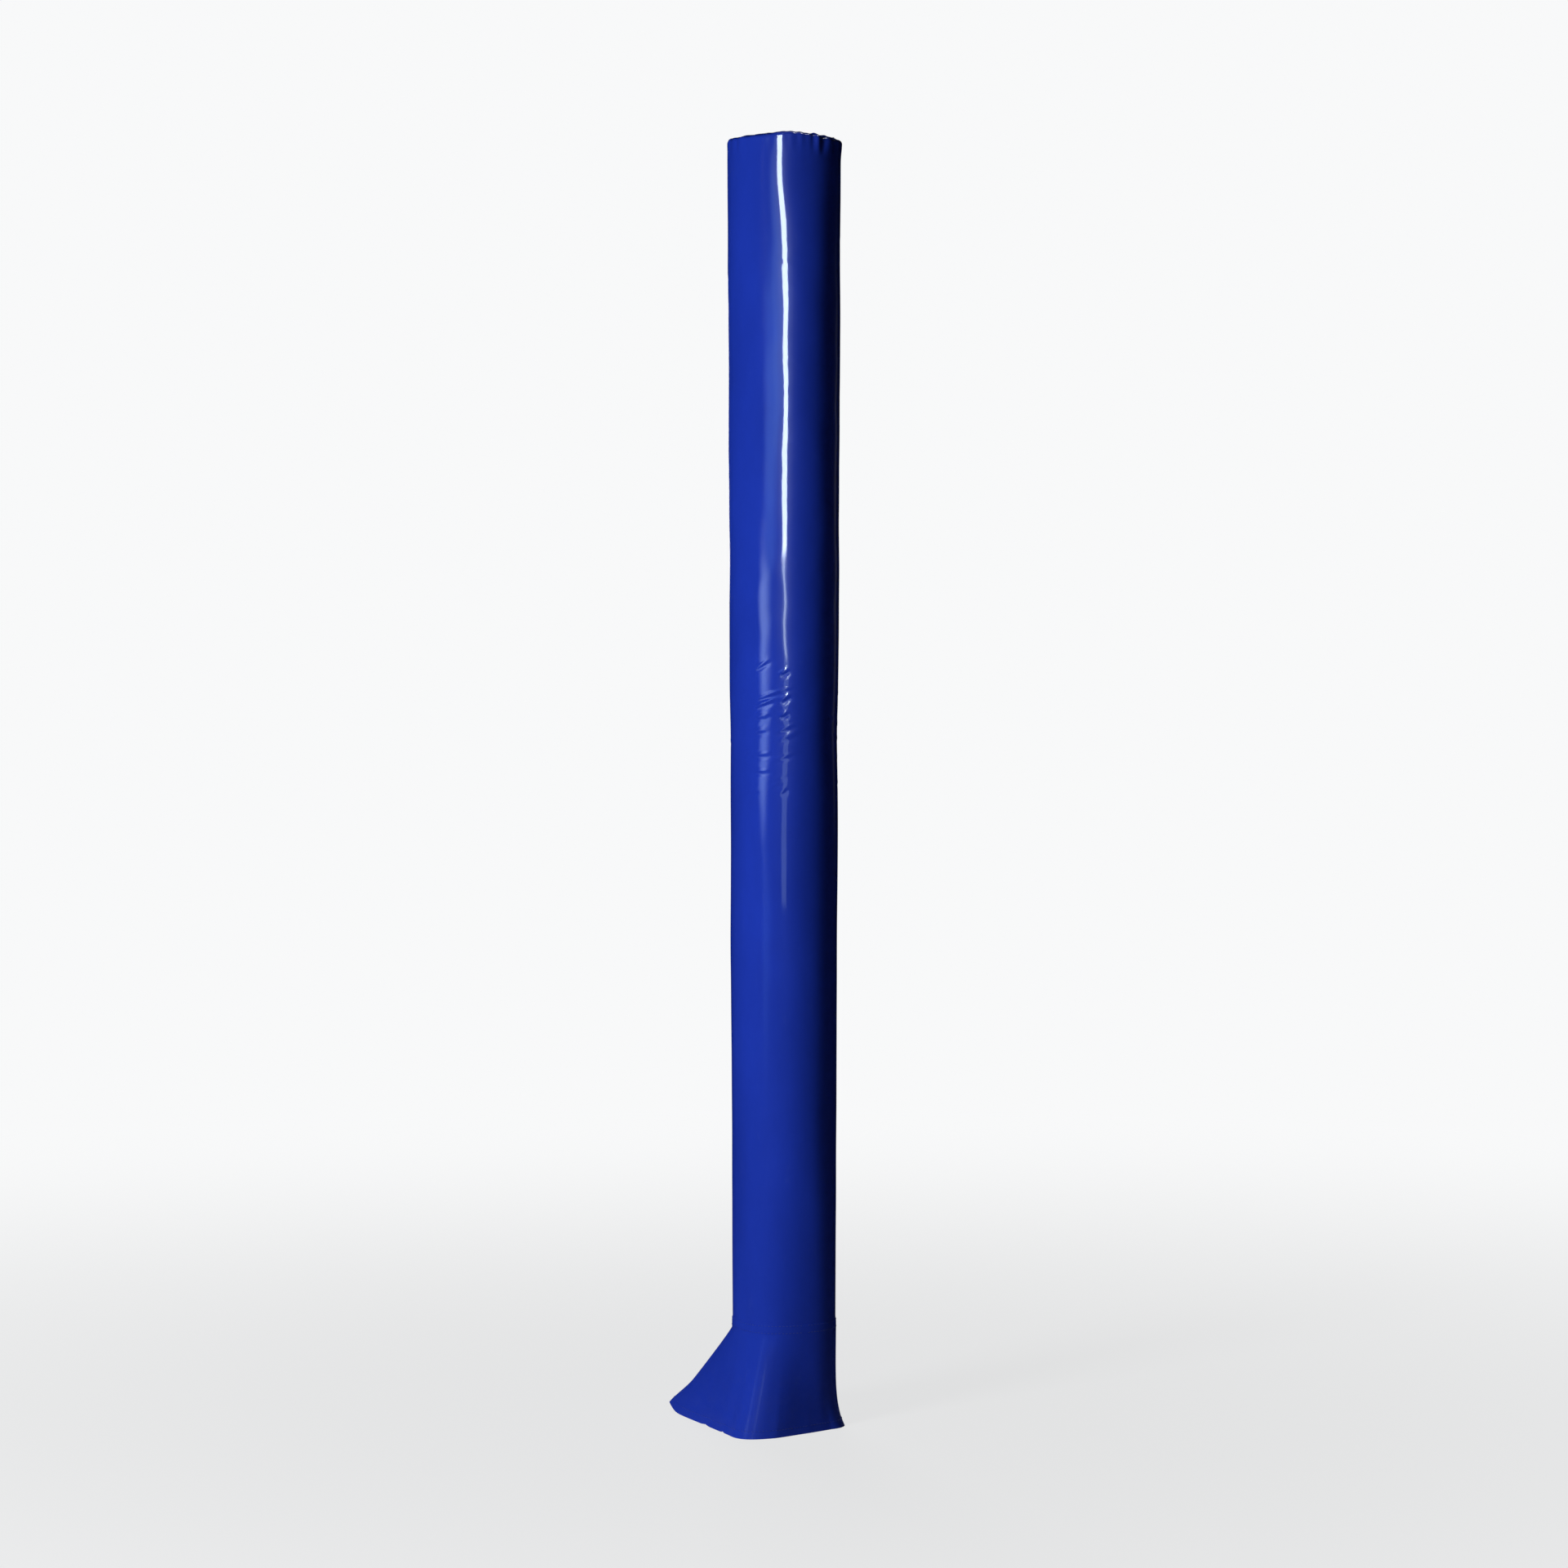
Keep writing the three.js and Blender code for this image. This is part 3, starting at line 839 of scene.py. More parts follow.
def pocket_outline(panel, z):
    """The liner's line round a panel's foam in plan, from one cover edge by the inner face to the other."""
    centre = ARC_CENTRE - drawn_in(z)
    gap = HALF_GAP * math.sqrt(2)
    wing_end = centre + CORNER_RADIUS * math.sqrt(0.5) - 2.2
    wing = [(gap - n, n) for n in np.linspace(wing_end, LINER_FACE, 7)[:-1]]
    corner = LINER_FACE - gap
    if not panel.endswith("leaf"):
        inner = [(u, LINER_FACE) for u in np.linspace(-corner, corner, 2 * INNER_STEPS + 1)]
        return wing + inner + mirrored(wing)
    inner = [(u, LINER_FACE) for u in np.linspace(-corner, -closing_edge(LINER_FACE), INNER_STEPS + 1)]
    edge = [(-closing_edge(n), n) for n in np.linspace(LINER_FACE, HINGE_REACH, 8)[1:]]
    seam = [(-HALF_GAP * 2, n) for n in np.linspace(HINGE_REACH, centre + CORNER_RADIUS - 1.5, 5)[1:]]
    line = wing + inner + edge + seam
    return line if panel == "left_leaf" else mirrored(line)


def make_liners():
    """The pockets that hold the foam against the post, puffed a little and quilted at the foam's split."""
    levels = LINER_ROWS
    for panel, side in PANELS.items():
        lines = np.array([pocket_outline(panel, z) for z in levels]).transpose(1, 0, 2)
        walked = walked_along(lines[:, len(levels) // 2])
        grid = turned(lines[..., 0], lines[..., 1], levels[None, :], TURNS[side])
        s, z = np.meshgrid(walked, levels, indexing="ij")
        inside = smooth(s, 0, 20) * smooth(walked[-1] - s, 0, 20)
        puff = PUFF * (1 + waves(s, z, 60, 130, 31)) * inside
        quilt = QUILT * np.exp(-(((z - WAIST_LEVEL) / QUILT_WIDTH) ** 2))
        grid = grid - normals_of(grid) * (puff + quilt)[..., None] * 0.9
        piece = shell(f"liner_{panel}", grid, LINER_THICK, np.stack([s, z, z], -1))
        finished(piece, named_material("grey_liner"))
        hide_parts(f"{panel}_liner")
        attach(piece, panel)


# How far the foam's outer corners are drawn in, so that the cover at a hinge stays outside them
CORNER_DRAW = 8.5
CORNER_SHARE = 0.93


def foam_outline(panel, z, inset):
    """A foam panel's outline in plan at a height, with its sharp edges worn round."""
    side = PANELS[panel]
    turn = TURNS[side]

    def at(share):
        x, y, _ = face_points(side, share, np.array(z), -inset - CORNER_DRAW * abs(share) ** 4)
        across = float(x * math.cos(turn) + y * math.sin(turn))
        return across, float(y * math.cos(turn) - x * math.sin(turn))

    outer = [at(share) for share in np.linspace(-CORNER_SHARE, 0, 14)]
    back = LINER_FACE + LINER_THICK + inset
    corner = back - 1.6
    rounded = [(corner - 1.0, back + 2.0), (corner - 3.2, back)]
    if not panel.endswith("leaf"):
        return np.array(outer + mirrored(outer[:-1]) + rounded + mirrored(rounded))
    seam = outer[-1][1]
    edge = [(-closing_edge(n) - 2.2, n) for n in np.linspace(HINGE_REACH, back + 2.5, 5)]
    inner = [(-closing_edge(back) - 5, back)] + mirrored(rounded)
    line = outer[:-2] + [(-4.4, seam), (-2.2, seam - 3)] + edge + inner
    return np.array(line if panel == "left_leaf" else mirrored(line))


# The foam's two lengths, how far it lies inside its pocket, and how far its worn ends reach and draw in
FOAM_SPANS = {"lower": (FOOT_LEVEL + 1.2, WAIST_LEVEL - 0.6), "upper": (WAIST_LEVEL + 0.6, TOP_LEVEL - 7.5)}
FOAM_INSET = 2.0
WORN_END, WORN_IN = 6, 3.0


def make_foam():
    """The foam of the five panels, each in a lower and an upper length."""
    for panel, side in PANELS.items():
        for part, (low, high) in FOAM_SPANS.items():
            steps = np.concatenate([[0, 1.5, 4, 9], np.linspace(30, high - low - 30, 16),
                                    [high - low - d for d in (16, 9, 4, 1.5, 0)]])
            rings = []
            for step in steps:
                edge = min(step, high - low - step)
                soft = WORN_IN * (1 - min(edge, WORN_END) / WORN_END) ** 2
                line = foam_outline(panel, low + step, FOAM_INSET + soft)
                rings.append(turned(line[:, 0], line[:, 1], low + step, TURNS[side])[::-1])
            piece = loft(f"foam_{part}_{panel}", np.array(rings))
            finished(piece, named_material("pale_foam"))
            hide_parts(f"{panel}_foam_{part}")
            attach(piece, panel)


CAP_THICK = 0.9
CAP_REACH = 36
CAP_ROLL = 2.2

# The caps' rows, as shares of the way from the cover's edge to the liner
TOP_CAP_ROWS = (0, 0.04, *np.linspace(0.1, 0.9, 12), 0.96, 1.0)
FOOT_CAP_ROWS = (0, 0.05, *np.linspace(0.12, 0.88, 8), 0.95, 1.0)


def as_grid(rows):
    """Rows of points as a grid that runs along the rows first."""
    return np.array(rows).transpose(1, 0, 2)


def top_cap(s, rim, inner, fold):
    """The gathered cloth from the cover's rim over the foam to the liner, and its places when flat."""
    grid, place = [], []
    for r in TOP_CAP_ROWS:
        line = rim * (1 - r) + inner * r
        rise = CAP_ROLL * math.sin(math.pi * min(1.0, r * 1.04)) ** 0.7
        roll = -CAP_ROLL * smooth(r, 0.9, 1.0)
        ripple = 0.7 * fold * (1 - r) ** 2 * math.sin(math.pi * min(1, r * 3 + 0.1))
        line[:, 2] = TOP_LEVEL + rise + roll + ripple
        line[:, 2] += (rim[:, 2] - TOP_LEVEL) * (1 - r) ** 1.5
        grid.append(line)
        place.append(np.stack([s, PAD_HEIGHT + CAP_REACH * r + 0 * s, PAD_HEIGHT + 0 * s], -1))
    grid = as_grid(grid)
    grid[:, 0] = rim
    return grid, as_grid(place)


def foot_cap(s, rim, inner):
    """The flat cloth under the foam from the cover's foot to the liner, and its places when flat."""
    grid, place = [], []
    for r in FOOT_CAP_ROWS:
        line = rim * (1 - r) + inner * r
        line[:, 2] = 0.25 + 1.0 * (1 - smooth(r, 0.0, 0.06)) + 0.9 * smooth(r, 0.94, 1.0)
        grid.append(line)
        place.append(np.stack([s, -CAP_REACH * r + 0 * s, 0 * s], -1))
    return as_grid(grid)[::-1], as_grid(place)[::-1]


def make_caps():
    """The ends of the pockets: gathered over the top of the foam, and flat under its foot."""
    form = cover_form()
    fold = gathers(form.around, settings()[0])
    corner = LINER_FACE + 0.4
    for panel, side in PANELS.items():
        part = form.panel(panel)
        s = form.around[part]
        start = -closing_edge(corner) if panel == "left_leaf" else corner
        end = closing_edge(corner) if panel == "right_leaf" else -corner
        share = (s - s[0]) / (s[-1] - s[0])
        inner = turned(start + (end - start) * share, corner, TOP_LEVEL, TURNS[side])
        top = top_cap(s, form.points[part, -1], inner, fold[part])
        foot = foot_cap(s, form.points[part, 0], inner)
        for which, foam, (grid, place), finish, slot in (
            ("top", "upper", top, "blue_tarpaulin", "tarpaulin"),
            ("foot", "lower", foot, "dark_tarpaulin", "foot_tarpaulin"),
        ):
            cap = shell(f"{which}_cap_{panel}", grid, CAP_THICK, place)
            finished(cap, named_material(finish))
            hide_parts(f"{panel}_{which}_hem")
            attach(cap, panel)


# Skirt


def foot_distance(name):
    """How far the foot line stands from the post's middle plane."""
    return FOOT_BASE + FEET[name]


def foot_corner(quadrant):
    """The foot line's straight parts and its corner for a quadrant, in plan, the way that the cover goes."""
    rear, left, right = foot_distance("rear"), foot_distance("left"), foot_distance("right")
    front_left, front_right = foot_distance("front_left"), foot_distance("front_right")
    middle = (front_left + front_right) / 2
    w, round_start = WEDGE_REACH, 55.0
    return {
        "rear_left": [(-HALF_GAP, rear), (-w, rear), (-left - 7, rear), (-left - 3, w), (-left, 0)],
        "front_left": [(-left, 0), (-left, -w), (-left, -front_left), (-w, -front_left), (0, -middle)],
        "front_right": [(0, -middle), (round_start, -front_right - 1.5), (right, -front_right),
                        (right, -round_start), (right, 0)],
        "rear_right": [(right, 0), (right, w), (right, rear), (w, rear), (HALF_GAP, rear)],
    }[quadrant]


def foot_line(quadrant, counts):
    """Points of the foot line: counts[0] from the start to the corner's tip, and counts[1] to the end."""
    start, near, corner, far, end = [np.array(p, float) for p in foot_corner(quadrant)]
    v = np.linspace(0, 1, 81)[:, None]
    weights = [(1 - v) ** 2, 2 * CORNER_WEIGHTS[quadrant] * v * (1 - v), v * v]
    curve = (weights[0] * near + weights[1] * corner + weights[2] * far) / sum(weights)
    before = np.concatenate([[start], curve[:41]])
    after = np.concatenate([curve[40:], [end]])
    line = []
    for part, count in ((before, counts[0]), (after, counts[1])):
        walked = walked_along(part)
        line.append(at_distances(np.linspace(0, walked[-1], count), walked, part))
    return np.concatenate([line[0], line[1][1:]])


def foot_points(form):
    """The whole foot line, with a point for each station of the cover."""
    foot = []
    for name, (number, *_rest) in QUADRANTS.items():
        part = form.quadrant(number)
        total = part.stop - part.start
        middle = total // 2 + 1
        line = foot_line(name, (middle, total - middle + 1))
        foot += list(line if not foot else line[1:])
    return np.array(foot)


# The band's rows: height and how far each stands off the cover
BAND_ROWS = (
    (BAND_LEVEL, SKIRT_THICK * 0.2), (BAND_LEVEL - 2.5, SKIRT_THICK * 0.6), (BAND_LEVEL - 7, SKIRT_THICK),
    (FOLD_LEVEL + 6, SKIRT_THICK), (FOLD_LEVEL, SKIRT_THICK),
)
OFF_COVER = 0.15

# The rows below the fold, as shares of the way to the floor, and the flare that sags and flutes fully
FLARED_ROWS = (*np.linspace(0.04, 0.9, 22), 0.925, 0.95, 0.975, 1.0)
WIDE_FLARE = 60
SAG = 0.055

# How wide a corner is in quadrants. The corner where the cloth hangs down before it flares: its place in
# quadrants, width and how late. The flutes: share, length round the pad, seed and number of sines
CORNER_WIDTH = 0.16
LATE_CORNER = (2.5, 75, 4.5)
FLUTES = ((0.7, 44, 61, 9), (1.2, 95, 67, 7))

# The hem's extra thickness and the heights it ends between; the lift and the width of the rear left tip and
# of the nicks
HEM_THICK, HEM_ENDS = 0.5, (-17, -15)
TIP_LIFT, TIP_WIDTH = 13, 12
NICK_LIFT, NICK_WIDTH = 2.4, 3.5


def laid_skirt(_sizes):
    """The whole skirt as one grid round the pad: band, fold and the flared cloth down to the floor. Gives its
    points, normals, places on the flat cloth and thickness."""
    form = cover_form()
    s = form.around
    grid = [form.row_at(z, lift + OFF_COVER) for z, lift in BAND_ROWS]
    fold = grid[-1]
    foot = foot_points(form)
    away = np.linalg.norm(foot - fold[:, :2], axis=-1)
    outward = (foot - fold[:, :2]) / np.maximum(away, 1e-6)[:, None]
    corner = np.exp(-((((s / QUADRANT) % 1.0 - 0.5) / CORNER_WIDTH) ** 2))
    at_late, width, later = LATE_CORNER
    late = 1 + later * np.exp(-(((s - at_late * QUADRANT) / width) ** 2))
    ripple = sum(share * ripples(s, length, seed, count) for share, length, seed, count in FLUTES)
    for down in FLARED_ROWS:
        line = np.zeros_like(fold)
        line[:, :2] = fold[:, :2] + (foot - fold[:, :2]) * (down**late)[:, None]
        line[:, 2] = FOLD_LEVEL * (1 - down) + 0.1 * (down == 1.0)
        sag = -np.minimum(away, WIDE_FLARE) * SAG * math.sin(math.pi * down) * (1 - 0.4 * corner)
        flute = ripple * down ** 1.3 * (0.35 + 0.65 * np.clip(away / WIDE_FLARE, 0, 1))
        flute = flute * (1 - 0.55 * smooth(down, 0.8, 1.0))
        line[:, :2] += outward * (sag + flute)[:, None]
        grid.append(line)
    grid = as_grid(grid)[:, ::-1]
    grid[0, :, 0] = -HALF_GAP
    grid[-1, :, 0] = HALF_GAP
    normals = normals_of(grid)
    level = grid[..., 2]
    place = np.stack([np.broadcast_to(s[:, None], level.shape), level + 7, level], -1)
    hem = HEM_THICK * smooth(-level, *HEM_ENDS)
    thickness = np.full(level.shape, SKIRT_THICK) + hem
    thickness[level > BAND_LEVEL - 0.5] = SKIRT_THICK * 0.25
    lifted = TIP_LIFT * np.exp(-(((s - 0.5 * QUADRANT) / TIP_WIDTH) ** 2))
    for at_s in HEM_NICKS:
        lifted = lifted + NICK_LIFT * np.exp(-(((s - at_s) / NICK_WIDTH) ** 2))
    grid = grid + normals * hem[..., None]
    grid[..., 2] += lifted[:, None] * (1 - smooth(level, 0, 70))
    return grid, normals, place, thickness


def skirt_form():
    """The skirt's grid, which its quadrants and their stitching share."""
    return made_once("skirt", laid_skirt)


def make_skirt():
    """The skirt in four quadrants, each with its two panels' halves and the gusset between them."""
    points, normals, place, thickness = skirt_form()
    form = cover_form()
    for name, (number, before, after, _joint) in QUADRANTS.items():
        part = form.quadrant(number)
        grid = points[part]
        inner = grid - normals[part] * thickness[part][..., None]
        inner[..., 2] = np.maximum(inner[..., 2], 0.02)
        piece = shell(f"skirt_{name}", grid, None, place[part], normals[part], inner)
        finished(piece, named_material("blue_tarpaulin"))
        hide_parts(f"{before}_skirt", f"skirt_gusset_{name}", f"{after}_skirt")
        bend_at(piece, name)


# Closure


def rear_face(u, z, lift):
    """A point on the flat rear face of the leaves, lifted off the cover's solid."""
    centre = ARC_CENTRE - drawn_in(z)
    past = np.maximum(0, np.abs(u) - centre)
    n = centre + np.sqrt(CORNER_RADIUS**2 - past**2) + lift
    return np.stack(np.broadcast_arrays(u, n, z), -1)


def flap_rise(u):
    """How the flap climbs from its sewn root on to the two tapes."""
    stack = 2 * TAPE_THICK + 2 * SKIN_GAP
    return ON_COVER + stack * smooth(u, FLAP_ROOT / 2, TAPE_START - SKIN_GAP)


def strip(name, edges, levels, lift, thick, wave, hemmed=2.0):
    """A flat strip up the rear face, its edges rounded off, as a closed body."""
    u = np.concatenate([[edges[0], edges[0] + 0.6], np.linspace(edges[0] + hemmed, edges[1] - hemmed, 11),
                        [edges[1] - 0.6, edges[1]]])
    uu, zz = np.meshgrid(u, levels, indexing="ij")
    edge = np.minimum(np.minimum(uu - edges[0], edges[1] - uu), np.minimum(zz - levels[0], levels[-1] - zz))
    full = 0.35 + 0.65 * smooth(edge, -0.1, 1.4)
    low = rear_face(uu, zz, lift(uu) + (1 - full) * thick * 0.5 + wave(uu, zz))
    high = low + np.array([0.0, 1.0, 0.0]) * (thick * full)[..., None]
    place = np.stack([uu, zz, zz], -1)
    return shell(name, high[::-1], thick, place[::-1], inner=low[::-1])


def still(u, z):
    """A strip that lies flat."""
    return 0 * u


def make_closure():
    """The flap, the anchor strip that its root is sewn to, and the two tapes."""
    middle = np.linspace(FLAP_FOOT + 4, FLAP_TOP - 4, 240)
    levels = np.concatenate([[FLAP_FOOT, FLAP_FOOT + 0.6, FLAP_FOOT + 2], middle,
                             [FLAP_TOP - 2, FLAP_TOP - 0.6, FLAP_TOP]])

    def free_wave(u, z):
        """The flap's free edge, a little wavy."""
        return 0.55 * smooth(u, 30.5, 34) * (1 + waves(u, z, 400, 90, 71))

    flap = strip("flap_sheet", (FLAP_ROOT, FLAP_END), levels, flap_rise, FLAP_THICK, free_wave)
    finished(flap, named_material("blue_tarpaulin"))
    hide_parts("closure_flap")
    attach(flap, "flap")

    anchor_edges = (ANCHOR_START, FLAP_ROOT - SKIN_GAP)
    anchor = strip("anchor_strip", anchor_edges, levels, lambda u: ON_COVER, FLAP_THICK, still, 1.4)
    finished(anchor, named_material("dark_tarpaulin"))
    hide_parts("flap_anchor")
    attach(anchor, "left_leaf")

    for name, node, who, under, lift, finish in (
        ("loop_strip", "loop_tape", "right_leaf", "cover_rear_right", ON_COVER, "loop_pile"),
        ("hook_strip", "hook_tape", "flap", "flap_sheet", ON_COVER + TAPE_THICK + SKIN_GAP, "hook_pile"),
    ):
        edges = (TAPE_START, TAPE_END)
        tape = strip(name, edges, levels, lambda u, k=lift: k + 0 * u, TAPE_THICK, still, 1.8)
        finished(tape, named_material(finish))
        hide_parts(node)
        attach(tape, who)


# Stitching

# The rows of stitches up the rear, by their distance from the seam, and round the skirt, by their height
FLAP_ROWS, ANCHOR_ROWS, LOOP_ROWS = (-9.0, 8.5, 28.5), (-27.0, -15.0), (8.2, 28.8)
SKIRT_ROWS = (BAND_LEVEL - 4, FOLD_LEVEL + 6, 14)


def up_rear(u, lift, low, high):
    """A row of stitches up the rear face, with its normals."""
    z = np.arange(low, high, 4.0)
    line = rear_face(u + 0 * z, z, lift)
    return line, np.broadcast_to([0.0, 1.0, 0.0], line.shape)


def across_flap(z):
    """A row of stitches across the flap, with its normals."""
    u = np.arange(-9, 31, 1.0)
    line = rear_face(u, z + 0 * u, flap_rise(u) + FLAP_THICK)
    return line, np.broadcast_to([0.0, 1.0, 0.0], line.shape)


def make_stitching():
    """The thread: two rows along the skirt's band, one along its hem, and rows up the flap and the tapes."""
    sizes = settings()[0]
    form = cover_form()
    points, normals, _place, _thick = skirt_form()
    level = points[:, :, 2].mean(0)
    rows = [int(np.argmin(np.abs(level - z))) for z in SKIRT_ROWS]
    for name, (number, *_rest) in QUADRANTS.items():
        part = form.quadrant(number)
        runs = [(points[part, row], normals[part, row]) for row in rows]
        seam = stitches(f"skirt_stitching_{name}", runs, sizes, 0.1)
        finished(seam, named_material("blue_thread"))
        bend_at(seam, name)

    low, high = FLAP_FOOT + 4, FLAP_TOP - 4
    on_flap = [up_rear(u, float(flap_rise(np.array(u))) + FLAP_THICK, low, high) for u in FLAP_ROWS]
    on_flap += [across_flap(z) for z in (low, high)]
    on_anchor = [up_rear(u, ON_COVER + FLAP_THICK, low, high) for u in ANCHOR_ROWS]
    on_loop = [up_rear(u, ON_COVER + TAPE_THICK, low, high) for u in LOOP_ROWS]
    for name, runs, who, finish in (
        ("flap_stitching", on_flap, "flap", "blue_thread"),
        ("anchor_stitching", on_anchor, "left_leaf", "blue_thread"),
        ("loop_stitching", on_loop, "right_leaf", "black_thread"),
    ):
        finished(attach(stitches(name, runs, sizes, 0.0), who), named_material(finish))


# Stage

CAMERA_PLACE = (-3.120, -6.613, 1.481)
CAMERA_LENS = 87.0
AIM_HEIGHT = 1.24


def from_post(x, y, z):
    """A point in metres from the foot of the post's axis."""
    return Vector(POST_AXIS) + Vector((x, y, z))


def aim(thing, height):
    """Turns a lamp or the camera towards the post at a height."""
    thing.rotation_euler = (from_post(0, 0, height) - thing.location).to_track_quat("-Z", "Y").to_euler()


def make_camera():
    """The view of the photograph, from the front and its left."""
    data = bpy.data.cameras.new("view")
    data.lens = CAMERA_LENS
    data.clip_end = 200
    camera = linked(bpy.data.objects.new("view", data))
    camera.location = from_post(*CAMERA_PLACE)
    aim(camera, AIM_HEIGHT)
    bpy.context.scene.camera = camera


def lamp(name, heading, distance, height, size, radiance, diffuse=True, glossy=True, aim_height=1.3,
         tint=(1.0, 1.0, 1.0)):
    """A rectangular soft lamp. heading is its direction from the post, in degrees from +X towards +Y."""
    data = bpy.data.lights.new(name, "AREA")
    data.shape = "RECTANGLE"
    data.size, data.size_y = size
    data.energy = radiance * math.pi * size[0] * size[1]
    data.color = tint
    thing = linked(bpy.data.objects.new(name, data))
    turn = math.radians(heading)
    thing.location = from_post(distance * math.cos(turn), distance * math.sin(turn), height)
    aim(thing, aim_height)
    thing.visible_diffuse = diffuse
    thing.visible_glossy = glossy


def bare_material(name):
    """A material with no nodes yet, and the means to add them."""
    material = bpy.data.materials.new(name)
    material.use_nodes = True
    material.node_tree.nodes.clear()
    return material, Nodes(material.node_tree)


def pale_mix(make, lit, shown, share):
    """Shows one shader to the eye, in gloss and through glass, and lights with the other. share is how much
    of it shows: a number, or a socket that gives it."""
    path = make.node("ShaderNodeLightPath")
    seen = path.outputs["Is Camera Ray"]
    for other in ("Is Glossy Ray", "Is Transmission Ray"):
        seen = make.maths("MAXIMUM", seen, path.outputs[other])
    mix = make.node("ShaderNodeMixShader")
    make.link(make.times(seen, share), mix.inputs["Fac"])
    make.link(lit.outputs[0], mix.inputs[1])
    make.link(shown.outputs[0], mix.inputs[2])
    return mix.outputs[0]


FLOOR_REACH = 40
FLOOR_SIDES = 64


def make_floor(colour_of_floor):
    """A wide pale floor, a little greyer near the pad, which takes the lamps' shadows."""
    mesh = bpy.data.meshes.new("floor")
    turns = np.linspace(0, 2 * math.pi, FLOOR_SIDES + 1)[:-1]
    rim = [(FLOOR_REACH * math.cos(t), FLOOR_REACH * math.sin(t), 0) for t in turns]
    mesh.from_pydata(rim, [], [tuple(range(FLOOR_SIDES))])
    linked(bpy.data.objects.new("floor", mesh))
    material, make = bare_material("pale_floor")
    lit = make.node("ShaderNodeBsdfDiffuse")
    lit.inputs["Color"].default_value = shade(colour_of_floor, 0.45)
    shown = make.node("ShaderNodeEmission")
    shown.inputs["Color"].default_value = colour_of_floor
    away = make.vector_maths("LENGTH", make.node("ShaderNodeNewGeometry").outputs["Position"])
    fade = make.ramp(away, 0.3, 5.0, 0.76, 1.0, "SMOOTHSTEP")
    out = make.node("ShaderNodeOutputMaterial")
    make.link(pale_mix(make, lit, shown, fade), out.inputs["Surface"])
    mesh.materials.append(material)


def make_world(colour_of_floor):
    """A pale background to the eye, and a faint cool light from all sides."""
    world = bpy.data.worlds.new("studio")
    bpy.context.scene.world = world
    world.use_nodes = True
    make = Nodes(world.node_tree)
    make.tree.nodes.clear()
    lit = make.node("ShaderNodeBackground")
    lit.inputs["Color"].default_value = (0.9, 0.94, 1.0, 1)
    lit.inputs["Strength"].default_value = 0.014
    shown = make.node("ShaderNodeBackground")
    shown.inputs["Color"].default_value = colour_of_floor
    out = make.node("ShaderNodeOutputWorld")
    make.link(pale_mix(make, lit, shown, 1.0), out.inputs["Surface"])


# Soft patches of sky on the dark surround: heading, height, half sizes in metres, colour with its strength
GLOWS = {
    "high_sky": (228, 2.33, (0.44, 0.44, 0.60), (0.8, 1.7, 3.3)),
    "middle_sky": (216, 2.00, (0.60, 0.60, 0.56), (1.1, 2.2, 4.2)),
    "low_sky": (203, 1.57, (0.62, 0.62, 0.26), (4.6, 6.4, 9.2)),
    "lower_sky": (200, 1.27, (0.56, 0.56, 0.30), (3.2, 4.8, 7.2)),
    "foot_sky": (205, 0.85, (0.50, 0.50, 0.50), (0.2, 0.5, 1.4)),
    "far_side": (16, 1.75, (0.22, 0.22, 1.10), (0.15, 0.15, 0.17)),
}
SURROUND_REACH = 1.8
SURROUND_RINGS = ((0.26, 0.002), (SURROUND_REACH, 0.3), (SURROUND_REACH, 9.0))
SURROUND_SIDES = 96


def make_dark_surround():
    """A dark wall that only shows in gloss, as trees stand round the real court, with soft patches of sky."""
    sides = SURROUND_SIDES
    turns = np.linspace(0, 2 * math.pi, sides + 1)[:-1]
    points = [tuple(from_post(r * math.cos(t), r * math.sin(t), z)) for r, z in SURROUND_RINGS for t in turns]
    faces = [(k + i, k + (i + 1) % sides, k + sides + (i + 1) % sides, k + sides + i)
             for k in (0, sides) for i in range(sides)]
    mesh = bpy.data.meshes.new("dark_surround")
    mesh.from_pydata(points, [], faces)
    wall = linked(bpy.data.objects.new("dark_surround", mesh))
    material, make = bare_material("dark_wall")
    place = make.node("ShaderNodeNewGeometry").outputs["Position"]
    shown = None
    for heading, height, half_sizes, sky in GLOWS.values():
        turn = math.radians(heading)
        middle = from_post(SURROUND_REACH * math.cos(turn), SURROUND_REACH * math.sin(turn), height)
        away = make.vector_maths("DIVIDE", make.vector_maths("SUBTRACT", place, middle), half_sizes)
        fade = make.ramp(make.vector_maths("LENGTH", away), 0.1, 1.0, 1.0, 0.0, "SMOOTHERSTEP")
        glow = make.node("ShaderNodeEmission")
        glow.inputs["Color"].default_value = tuple(part / max(sky) for part in sky) + (1.0,)
        make.link(make.times(fade, max(sky)), glow.inputs["Strength"])
        if shown is None:
            shown = glow.outputs[0]
            continue
        both = make.node("ShaderNodeAddShader")
        make.link(shown, both.inputs[0])
        make.link(glow.outputs[0], both.inputs[1])
        shown = both.outputs[0]
    make.link(shown, make.node("ShaderNodeOutputMaterial").inputs["Surface"])
    mesh.materials.append(material)
    wall.visible_camera = False
    wall.visible_diffuse = False
    wall.visible_shadow = False
    wall.visible_transmission = False


PALE_SKY = (0.78, 0.91, 1.0)
DEEP_SKY = (0.55, 0.78, 1.0)


